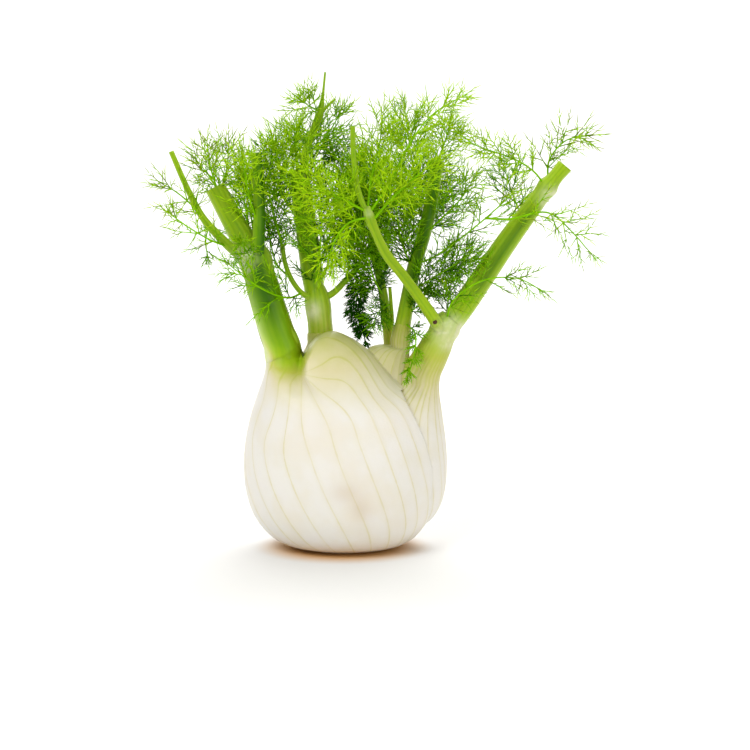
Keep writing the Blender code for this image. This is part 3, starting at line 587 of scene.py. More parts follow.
def sleeve(points, length):
    """Rings along the first millimetres of a stalk: from just outside its skin to inside it."""
    rows = through(points, 400)
    run = np.cumsum(np.linalg.norm(np.diff(rows[:, :3], axis=0, prepend=rows[:1, :3]), axis=1))
    made = []
    count = max(4, round(length / 5))
    covers = [STALK_COVER, THIN_COVER, END_COVER]
    over_skin = np.interp(np.arange(count), [0, count - 2, count - 1], covers)
    for share, over in zip(np.linspace(0.6 / count, 1.0, count), over_skin):
        k = np.searchsorted(run, share * length)
        x, y, z, radius = rows[k]
        lean = unit(rows[k + 1, [0, 2]] - rows[k - 1, [0, 2]])
        half = (radius + over) * np.array([lean[1], -lean[0]])
        made.append(Ring((x - half[0], z - half[1]), (x + half[0], z + half[1]), y, radius + over))
    return made


def shape_shoulder(grid, stalk):
    """Rounds the hump off beside the stalk, and draws the skin before the stalk back to it.

    The height becomes the soft lesser of z and the notch's outline: -k log(exp(-z/k) + exp(-top/k)).
    Then the depth |y - y0| moves towards the soft lesser of itself and that of the stalk's face,
    sqrt(r^2 - (x - x0)^2), by a share that grows with the height and the way in from the edge.
    """
    x, y, z = np.moveaxis(grid, 2, 0)
    top = np.interp(x, NOTCH_X, NOTCH_Z, left=200.0, right=200.0)
    z = -HUMP_BLEND * np.logaddexp(-z / HUMP_BLEND, -top / HUMP_BLEND)
    x0, y0, r = stalk_at(z, stalk)
    r = np.maximum(r + STALK_COVER, np.interp(z, FLARE_Z, FLARE_RADIUS))
    web = WEB_DEPTH * smoothstep((x - x0) / r) * fade(z, *WEB_TOP)
    face = np.maximum(np.sqrt(np.maximum(r**2 - (x - x0) ** 2, 0.0)), web)
    soft = 0.1 + FLARE_BLEND * fade(z, 91.0, 81.0)
    inside = y0 - np.sign(y - y0) * soft * np.logaddexp(-np.abs(y - y0) / soft, -face / soft)
    inwards = (np.interp(z, HOLLOW_Z, HOLLOW_EDGE) - x) / np.interp(z, HOLLOW_Z, HOLLOW_SLOPE)
    share = smoothstep(inwards) * fade(z, *DRAWN_FROM) * fade(z, *DRAWN_TO)
    return np.stack([x, y + share * (inside - y), z], 2)


print("the notch reaches down to", min(NOTCH_Z), "mm")

# %% [markdown]
# The rest is the same for every sheath: the loft itself, which carries an ellipse from ring to ring,
# and a measure of how near each point is to a pale collar, because the sleeves pass some of them.

# %% Lofts and collars


def collar_paleness(grid):
    """How near each point is to a collar: exp(-(beyond / fade)^2), beyond its pale radius."""
    away = np.linalg.norm(grid[:, :, None] - COLLARS, axis=3)
    beyond = np.maximum(away - COLLAR_RADIUS, 0.0)
    return np.exp(-((beyond / COLLAR_FADE) ** 2)).max(axis=2)


def ring_line(rings, count):
    """A smooth line of count rings. A row holds both ends (x, z), the middle's y and the half depth."""
    return through([(*r.left, *r.right, r.middle_y, r.half_depth) for r in rings], count)


def loft(line, turn, raised=0.0):
    """The points C + (a + h) cos f U + (b + h) sin f V, for each ring of the line and each turn f.

    C is the ring's middle, U points from its left end to its right end, V is +Y, and a and b are its
    half width and half depth. The points are raised by h.
    """
    left, right = line[:, None, 0:2], line[:, None, 2:4]
    wide = np.linalg.norm(right - left, axis=2) / 2
    along = (right - left) / (2 * wide[:, :, None])
    flat = (left + right) / 2 + ((wide + raised) * np.cos(turn))[:, :, None] * along
    y = line[:, None, 4] + (line[:, None, 5] + raised) * np.sin(turn)
    return np.stack([flat[:, :, 0], y, flat[:, :, 1]], 2)


print("the left sheath's first ring is", LEFT_SHEATH[0].right[0] - LEFT_SHEATH[0].left[0], "mm wide")

# %% [markdown]
# Where do the veins run? Each point of a sheath gets a number that counts the veins passed on the
# way round, and a vein lies wherever that number is half way between two whole ones. On the body of
# the bulb it is enough to list the veins round its middle height and let them twist. On the front
# sheath the upper ends need more: the veins come out of the stalk's foot side by side, and those on
# its right spread like a fan over the hump. So near the foot the number follows the stalk's girth,
# then the angle round the foot, and blends into the plain number further down.

# %% The number of each vein
# The turns of the veins on the front, in radians at mid-height, and how many stand behind
FRONT_VEINS = (3.60, 3.84, 4.115, 4.42, 4.695, 4.965, 5.21, 5.41, 5.62, 5.84)
BACK_VEINS = 13

# Where the fan starts at the right of the stalk's foot, and the number of the vein there
FOOT_X = -18.9
FOOT_Z = 86.5
FOOT_NUMBER = 3.5

# The bearings of the fan's veins, and the millimetres over which it blends into the plain number
FAN_ANGLES = (0.0, 0.5, 0.88, 1.4, 2.0, 2.7)
FAN_REACH = (9.0, 41.0)

# The millimetres between veins below the stalk's foot, and the veins that go on round the stalk
FOOT_SPACING = 5.3
STALK_RIBS = 9


def twist_at(z):
    """How far round, in radians, the veins have drifted at a height in millimetres."""
    return 0.480 - 0.0128 * z + 0.0000614 * z * z


def even_veins(count, phase):
    """The turns of veins that stand almost evenly round a sheath."""
    k = np.arange(count)
    return 2 * pi * (k + phase + 0.15 * np.sin(2.4 * k)) / count


def number_at(turn, veins):
    """Counts the veins passed at each turn. Halves fall on the veins, and each round adds them all."""
    rounds = np.floor((turn - veins[0]) / (2 * pi))
    knots = np.append(veins, veins[0] + 2 * pi)
    number = np.interp(turn - 2 * pi * rounds, knots, np.arange(len(knots)) + 0.5)
    return number + len(veins) * rounds


def around_stalk(x, y, z, stalk):
    """The turn of each point round the stalk, and how far left of the stalk's right side it is."""
    x0, y0, r = stalk_at(z, stalk)
    return np.arctan2(y - y0, x - x0) % (2 * pi), x0 + r - x


def fan_out(number, grid, stalk):
    """The number near the stalk's foot: along the stalk by its girth, and on the hump by the angle."""
    x, y, z = np.moveaxis(grid, 2, 0)
    turn, inside = around_stalk(x, y, z, stalk)
    inside = np.where(z < FOOT_Z, FOOT_X - x, inside)
    ribs = FOOT_NUMBER + STALK_RIBS * (turn / (2 * pi) - 1)
    level = FOOT_NUMBER + (x - FOOT_X) / FOOT_SPACING
    ribs = level + smoothstep((z - 80) / 9 + (y > -4)) * (ribs - level)
    bearing = np.arctan2(np.maximum(x - FOOT_X, 0.0), FOOT_Z - z)
    fan = FOOT_NUMBER + np.interp(bearing, FAN_ANGLES, np.arange(len(FAN_ANGLES)))
    near = np.where(inside > 0, ribs, fan)
    away = np.hypot(x - FOOT_X, z - FOOT_Z)
    front = (1 - fade(away, *FAN_REACH)) * fade(y, 3.0, -5.0)
    weight = np.maximum(front, fade(inside, -1.5, 0.0) * fade(z, 78.0, 88.0))
    return number + weight * (near - number)


def pitch_of(number, grid):
    """Millimetres from one vein to the next: 1 / |grad n|, from the slopes along rows and columns."""
    around = np.roll(grid, -1, axis=1) - grid
    upwards = np.gradient(grid, axis=0)
    a = np.diff(number, axis=1)
    b = np.gradient(number[:, :-1], axis=0)
    aa, bb, ab = (around**2).sum(2), (upwards**2).sum(2), (around * upwards).sum(2)
    steep = (bb * a * a - 2 * ab * a * b + aa * b * b) / (aa * bb - ab**2 + 1e-9)
    return np.clip(1 / np.sqrt(np.maximum(steep, 1e-6)), 0.8, 16.0)


some_veins = even_veins(20, 0)
print("veins in a whole turn:", number_at(2 * pi, some_veins) - number_at(0.0, some_veins))

# %% [markdown]
# The skin isn't smooth. Each vein raises it into a low ridge, and between two veins it sinks a
# little. The front sheath also has an edge, and its sleeve wears the marks of the stalk's own skin,
# so that nobody sees where one piece ends: it turns green, its outer side gets painted light and its
# right side painted shade, and the painted shade of a channel starts on its front.

# %% Ridges, the edge and the marks of the stalk

# How green the skin is on its way up each leaf, as (z, value)
SHEATH_GREENING = {
    "sheath_left": ((62.0, 0.0), (70.0, 0.04), (76.0, 0.13), (80.0, 0.24), (84.0, 0.40), (90.0, 0.64),
                    (98.0, 0.84), (125.0, 0.97)),
    "sheath_right": ((54.0, 0.0), (66.0, 0.1), (79.0, 0.31), (92.0, 0.5), (104.0, 0.62)),
    "sheath_inner_left": ((76.0, 0.0), (88.0, 0.16), (104.0, 0.5)),
    "sheath_inner_right": ((55.0, 0.0), (77.0, 0.22), (95.0, 0.34), (104.0, 0.5)),
}
HUMP_GREEN = 0.38

# The outer edge of the left stalk stays pale further up, as if it stood this many millimetres lower
PALE_LAG = 20.0

# The veins fade towards the notch: narrower there by one and this, over this many millimetres
NOTCH_VEINS = 2.5
NOTCH_REACH = 6.5

# The veins of the inner sheaths hardly show, so they are drawn this many times narrower
INNER_VEINS = 2.5

# The ridge on each vein, its half width, and the swell between veins for each millimetre between
VEIN_RIDGE = 0.16
VEIN_WIDTH = 0.8
VEIN_SWELL = 0.003

# Two tan patches low on the front, as x, z and their spread along both
TAN_PATCHES = ((1.6, 33.0, 7.0, 5.0), (8.5, 24.5, 5.0, 6.0))

# The turn round a stalk where the painted shade of its channel runs, just right of the front
CHANNEL_TURN = 1.53 * pi


def ridges(number, pitch):
    """How far the veins raise the skin: a ridge on each vein, and a low swell between them.

    The ridge is 0.16 exp(-(m / 0.8)^2), with m millimetres to the vein, and the swell is
    0.003 p cos(2 pi m / p), with p from vein to vein. Both grow in over the first rows.
    """
    part = number[:, :-1] % 1 - 0.5
    ridge = VEIN_RIDGE * np.exp(-((part * pitch / VEIN_WIDTH) ** 2))
    grown = smoothstep(np.linspace(0, 1, len(number))[:, None] / 0.08)
    return grown * (ridge + VEIN_SWELL * pitch * np.cos(2 * pi * part))


def with_edge(line, turn, relief):
    """The front sheath's loft, with a lip 0.6 exp(-(b / 3)^2) at its right edge, past which it dives.

    Here b is how far a point is right of the edge.
    """
    grid = loft(line, turn, relief)
    beyond = grid[:, :, 0] - np.interp(grid[:, :, 2], EDGE_Z, EDGE_X, left=60.0, right=60.0)
    lip = EDGE_LIP * np.exp(-((np.minimum(beyond, 0) / 3.0) ** 2)) * (beyond < 8)
    return loft(line, turn, relief + lip - EDGE_DIVE * smoothstep(beyond / 1.5))


def front_marks(grid, root, greening):
    """Green, painted side light and shade, painted shade in the groove, and the veins' thinning on the
    front sheath.

    On the stalk's foot the green follows the height, lowered on the outer side, so that this side
    stays pale for longer. On the hump it is a faint green that grows with the height.
    """
    x, y, z = np.moveaxis(grid, 2, 0)
    bearing, inside = around_stalk(x, y, z, root)
    on_stalk = fade(inside, -3.5, 0.5)
    hump = HUMP_GREEN * fade(z, 62.0, 104.0)
    lower = z - PALE_LAG * np.maximum(-np.cos(bearing), 0.0) ** 2 * fade(z, 118.0, 94.0)
    green = hump + on_stalk * (np.interp(lower, *zip(*greening)) - hump)
    # side is painted light on the outer, left side of the stalk's foot, and painted shade below zero,
    # on its right side
    side = -np.cos(bearing) ** 3 * fade(z, 81.0, 95.0) * on_stalk * (1 - 0.6 * fade(z, 98.0, 128.0))
    # Painted shade: the channel up the stalk's front is darkened
    channel = np.exp(-(((bearing - CHANNEL_TURN) / 0.55) ** 2)) * fade(z, 93.0, 123.0)
    notch = np.exp(-((np.hypot(x - FOOT_X, z - FOOT_Z) / NOTCH_REACH) ** 2)) * (1 - on_stalk)
    return green, side, channel, 1 + NOTCH_VEINS * notch


print("the veins stand", VEIN_RIDGE, "mm proud")

# %% [markdown]
# Now each sheath is one call: its rings and the first of its stalk become a line, the line a grid,
# and the grid a skin. The grid is finer where more of it shows.

# %% The four sheaths


def sheath(name, rings, stalk, reach, veins, rows, per_vein, outermost):
    """A sheath's skin: the loft through its rings and up its stalk, with a low ridge at each vein.

    It covers the stalk's first millimetres up to reach. The grid has rows and, for each vein,
    per_vein columns.
    """
    line = ring_line(rings + sleeve(stalk, reach), rows)
    turn = np.linspace(0, 2 * pi, len(veins) * per_vein + 1)[None, :]
    middle_z = (line[:, None, 1] + line[:, None, 3]) / 2
    number = number_at(turn - twist_at(middle_z), veins)
    turn = turn[:, :-1]
    root = LEFT_ROOT + stalk[1:]
    greening = SHEATH_GREENING[name]

    grid = loft(line, turn)
    if outermost:
        grid = shape_shoulder(grid, root)
        number = fan_out(number, np.concatenate([grid, grid[:, :1]], axis=1), root)
        number[:, -1] = number[:, 0] + np.round(number[:, -2] - number[:, 0])
    pitch = pitch_of(number, grid)
    relief = ridges(number, pitch)
    grid = loft(line, turn, relief)
    tan = fade(grid[:, :, 2], 3.5, 0.5)
    if outermost:
        grid = shape_shoulder(with_edge(line, turn, relief), root)
        x, y, z = np.moveaxis(grid, 2, 0)
        patch = sum(
            np.exp(-(((x - at_x) / wide) ** 2 + ((z - at_z) / high) ** 2))
            for at_x, at_z, wide, high in TAN_PATCHES
        )
        tan = np.maximum(tan, patch * (y < 0))
        green, side, channel, thinner = front_marks(grid, root, greening)
    else:
        green = np.interp(grid[:, :, 2], *zip(*greening))
        side = channel = 0.0 * green
        thinner = INNER_VEINS if "inner" in name else 1.0
    mesh = skin(name, grid, number, pitch=pitch * thinner, green=green, tan=tan,
                pale=collar_paleness(grid), side=side, channel=channel)
    print(name, "has", len(mesh.polygons), "faces and", len(veins), "veins")
    place(name + "_skin", mesh, sheath_finish, "sheath", name)


back_veins = np.linspace(FRONT_VEINS[-1], FRONT_VEINS[0] + 2 * pi, BACK_VEINS + 2)[1:-1]
left_veins = np.append(FRONT_VEINS, back_veins)
for name, rings, on, reach, veins, rows, per_vein in (
    ("sheath_left", LEFT_SHEATH, "stalk_left", 43, left_veins, 240, 12),
    ("sheath_right", RIGHT_SHEATH, "stalk_right", 27, even_veins(30, 0.5), 200, 10),
    ("sheath_inner_left", INNER_LEFT_SHEATH, "stalk_middle", 4, even_veins(20, 0.5), 110, 8),
    ("sheath_inner_right", INNER_RIGHT_SHEATH, "stalk_back", 12, even_veins(20, 0.5), 110, 8),
):
    outermost = name == "sheath_left"
    sheath(name, rings, STALKS[on][0], reach, veins, rows, per_vein, outermost)

# %% [markdown]
# ## Stalks
#
# A stalk is crisp and watery, like celery. It is fluted: pale ridges stand between darker grooves.
# It is nearly white at its foot and turns green on its way up, and where it branches it swells into
# a pale collar. The branches are cut off, and the cuts show paler flesh.

# %% The skin of a stalk
DEEPER_SCALE = (*GREENING_SCALE[:-1], (1.0, (0.12, 0.30, 0.003)))
PAINTED_SIDE_LIGHT = (0.50, 0.66, 0.07)
CUT_FLESH = (0.50, 0.60, 0.20)
DRIED_STALK = (0.06, 0.022, 0.008)


def stalk_skin():
    """Green skin with fine grooves and pale collars, painted light at the sides, painted shade in the
    groove.
    """
    net = Network("fennel stalk skin")
    fine = net.clouds(420.0, 2.0)
    green = net.plus(net.stored("green"), net.ramp(net.clouds(70.0), 0.3, 0.7, -0.06, 0.03))
    groove = net.ramp(net.from_half(net.stripes()), 0.0, 0.3, 1.0, 0.0)
    colour = net.layers(
        net.stops(green, *GREENING_SCALE),
        (net.times(groove, net.ramp(fine, 0.3, 0.7, 0.35, 0.8)),
         net.stops(net.plus(green, 0.16), *DEEPER_SCALE)),
        # Painted light on the sides of each branch
        (net.times(net.stored("side"), 0.5), PAINTED_SIDE_LIGHT),
        # Painted shade in the channel up a branch, and on the upright branch's right side
        (net.times(net.stored("channel"), 0.9), PAINTED_SHADE_DARK_GREEN),
        collar_layer(net),
        (net.stored("cut"), CUT_FLESH),
        (net.stored("age"), DRIED_STALK),
    )
    return net.finish(
        colour,
        net.ramp(fine, 0.3, 0.7, 0.28, 0.42),
        net.bump(net.clouds(1400.0, 2.0), 0.00005),
        Subsurface_Weight=0.08,
        Subsurface_Radius=(0.002, 0.003, 0.001),
        Subsurface_Scale=1.0,
        Specular_IOR_Level=0.15,
        Coat_Weight=0.03,
        Coat_Roughness=0.2,
    )


stalk_finish = stalk_skin()
print("stalk skin:", len(stalk_finish.node_tree.nodes), "nodes")

# %% [markdown]
# A stalk's line and its branches are tubes. Each tube is a ring carried along its smooth line, and
# its radius changes a little round the ring for the flutes. At the cut end the last ring is drawn
# again, smaller and a touch lower, so that the cut has a rim. The tubes of one stalk are joined by
# standing in each other inside the collar, where nobody sees their ends.

# %% Tubes along lines

# How green each stalk is on its way up, as (z, value)
GREENING = {
    "stalk_left": ((81.0, 0.3), (88.0, 0.6), (98.0, 0.82), (125.0, 0.95)),
    "stalk_right": ((80.0, 0.32), (98.0, 0.55), (116.0, 0.85)),
    "stalk_middle": ((94.0, 0.5), (108.0, 0.62), (126.0, 0.86)),
    "stalk_back": ((88.0, 0.45), (104.0, 0.62), (122.0, 0.95), (140.0, 1.0)),
    "stalk_heart": ((88.0, 0.38), (100.0, 0.5), (114.0, 0.85)),
}

# Some branches stay yellower than the rest of their stalk, up to this value
YELLOWER = {
    ("stalk_left", 1): 0.74,
    ("stalk_left", 3): 0.82,
    ("stalk_right", 1): 0.77,
    ("stalk_right", 2): 0.74,
    ("stalk_right", 3): 0.85,
    ("stalk_heart", 1): 0.72,
}

# The painted shade of the channel up a branch: how dark it gets, the heights between which it
# begins, and the heights between which it ends
OPEN_END = (900.0, 901.0)
CHANNELS = {
    ("stalk_left", 0): (1.0, (96.0, 130.0), (135.5, 137.0)),
    ("stalk_right", 1): (0.75, (112.0, 130.0), (158.0, 163.0)),
    ("stalk_back", 0): (0.8, (112.0, 132.0), OPEN_END),
}
CHANNEL_ELSE = (0.35, (112.0, 132.0), OPEN_END)

# Tubes by their widest radius, thickest first: columns round the ring, and flutes
TUBE_SIZES = ((5.0, 78, 13), (2.5, 40, 8), (0.0, 24, 6))
FLUTE_DEPTH = 0.018
RING_SPACING = 1.1

# The rim of a cut: the size of the last ring, and how far it lies below the one before
CUT_RIM = 0.82
CUT_DROP = 0.15

# A side shoot was cut off the front of the right collar, and the stub has dried
DRIED_BUD = [(43.9, -6.5, 107.4, 1.9), (43.3, -9.0, 108.3, 1.8), (42.9, -10.8, 108.9, 1.2)]


def frame_along(line):
    """For each point of a line its heading T, and two directions U and V across it: U x V = T."""
    heading = unit(np.gradient(line, axis=0))
    across = unit(np.cross((0.0, 1.0, 0.0), heading))
    return heading, across, np.cross(heading, across)


def stalk_tube(points, columns, flutes, phase):
    """The grid, stripes and cut value of one tube.

    A point is C + r (1 - d cos g) (cos f U + sin f V), where g is flutes times f, plus a phase.
    """
    length = np.linalg.norm(np.diff(np.array(points)[:, :3], axis=0), axis=1).sum()
    line = through(points, int(length / RING_SPACING) + 6)
    centre, radius = line[:, :3], line[:, 3]
    heading, across, over = frame_along(centre)
    turn = np.linspace(0, 2 * pi, columns + 1)
    stripes = np.broadcast_to(flutes * turn / (2 * pi) + phase, (len(line), columns + 1))
    wave = 1 - FLUTE_DEPTH * np.cos(2 * pi * (stripes[:, :-1] - 0.5))
    ring = turned(turn[:-1], across[:, None], over[:, None])
    grid = centre[:, None] + (radius[:, None] * wave)[:, :, None] * ring
    rim = centre[-1] + CUT_RIM * (grid[-1] - centre[-1]) - CUT_DROP * heading[-1]
    cut = np.concatenate([np.zeros(len(line)), [1.0]])[:, None] * np.ones(columns)
    return np.concatenate([grid, rim[None]]), np.vstack([stripes, stripes[-1:]]), cut


trial_grid = stalk_tube(STALKS["stalk_heart"][0], 24, 6, 0.0)[0]
print("the heart stalk's main tube has", trial_grid.shape[0], "rings")

# %% [markdown]
# The parts of a stalk differ in colour. The collars are pale, the sides get painted light, and
# painted shade marks a channel up the front of most branches. These are values on the points again,
# so one material serves all five stalks.

# %% The five stalks


def join(meshes, name):
    """One mesh from several, with their attributes and UV maps."""
    objects = [add_object(m.name, m) for m in meshes]
    with bpy.context.temp_override(active_object=objects[0], selected_editable_objects=objects):
        bpy.ops.object.join()
    mesh = objects[0].data
    bpy.data.objects.remove(objects[0])
    mesh.name = name
    return mesh


def channel_and_side(name, number, widest, turn, z):
    """Painted shade in the groove and painted light on the sides, by the turn round a branch and the
    height.
    """
    start = GREENING[name][0][0]
    # Painted light on both sides of a branch, growing in above its foot
    side = np.abs(np.cos(turn)) ** 3 * fade(z, start, start + 14)
    if (name, number) == ("stalk_left", 2):
        # The upright branch gets painted light on its left side only, and painted shade on its right
        channel = np.maximum(np.cos(turn - 1.8 * pi), 0.0) ** 1.5
        return channel * np.ones_like(z), side * (np.cos(turn) < 0)
    deep, (low, high), (last, end) = CHANNELS.get((name, number), CHANNEL_ELSE)
    channel = np.exp(-(((turn - CHANNEL_TURN) / 0.5) ** 2)) * fade(z, low, high) * fade(z, end, last)
    return deep * channel * (widest > 2.5), side


def stalk(name, tubes):
    """A stalk and its branches as one piece."""
    meshes = []
    for number, points in enumerate(tubes):
        widest = max(p[3] for p in points)
        columns, flutes = next(size[1:] for size in TUBE_SIZES if widest > size[0])
        grid, stripes, cut = stalk_tube(points, columns, flutes, 0.3 * number)
        z = grid[:, :, 2]
        turn = np.linspace(0, 2 * pi, columns, endpoint=False)[None, :]
        channel, side = channel_and_side(name, number, widest, turn, z)
        green = np.minimum(np.interp(z, *zip(*GREENING[name])), YELLOWER.get((name, number), 1.0))
        dried = cut if points is DRIED_BUD else 0 * cut
        meshes.append(
            skin(f"{name}_{number}", grid, stripes, green=green, pale=collar_paleness(grid), cut=cut,
                 side=side, channel=channel, age=dried)
        )
    mesh = join(meshes, name) if len(meshes) > 1 else meshes[0]
    print(name, "has", len(mesh.polygons), "faces in", len(tubes), "tubes")
    place(name + "_skin", mesh, stalk_finish, "stalk", name)


for name, tubes in STALKS.items():
    if name == "stalk_left":
        tubes = [LEFT_ROOT + tubes[0][1:], *tubes[1:]]
    if name == "stalk_right":
        tubes = [*tubes, DRIED_BUD]
    stalk(name, tubes)

# %% [markdown]
# ## Fronds
#
# A frond is a feather of feathers: a rachis carries pairs of leaflets, each leaflet carries
# smaller ones, and those end in threads half a millimetre thick. They could be particle hair, but
# hair isn't a mesh that anyone can keep. Placing copies of one feather would show the repetition.
# So every shoot is worked out on its own, all shoots of one level at a time, as whole arrays.
#
# The rachises start on the stalks. Each frond is given by the length of its longest leaflet, the
# number of pairs of leaflets on an axis of its solid, and the points (x, y, z) of its axes. Where it
# isn't 0, 0.9 and 0, the row says how many pairs more it has here, because it stands in the crowded
# middle or at the back, what share of its axis is leafy, and what share of its shoots has dried.

# %% The lines of the fronds

# The share of an axis that is leafy on most fronds
LEAFY = 0.9
Frond = namedtuple("Frond", "name reach pairs axes more leafy dry", defaults=(0, LEAFY, 0.0))

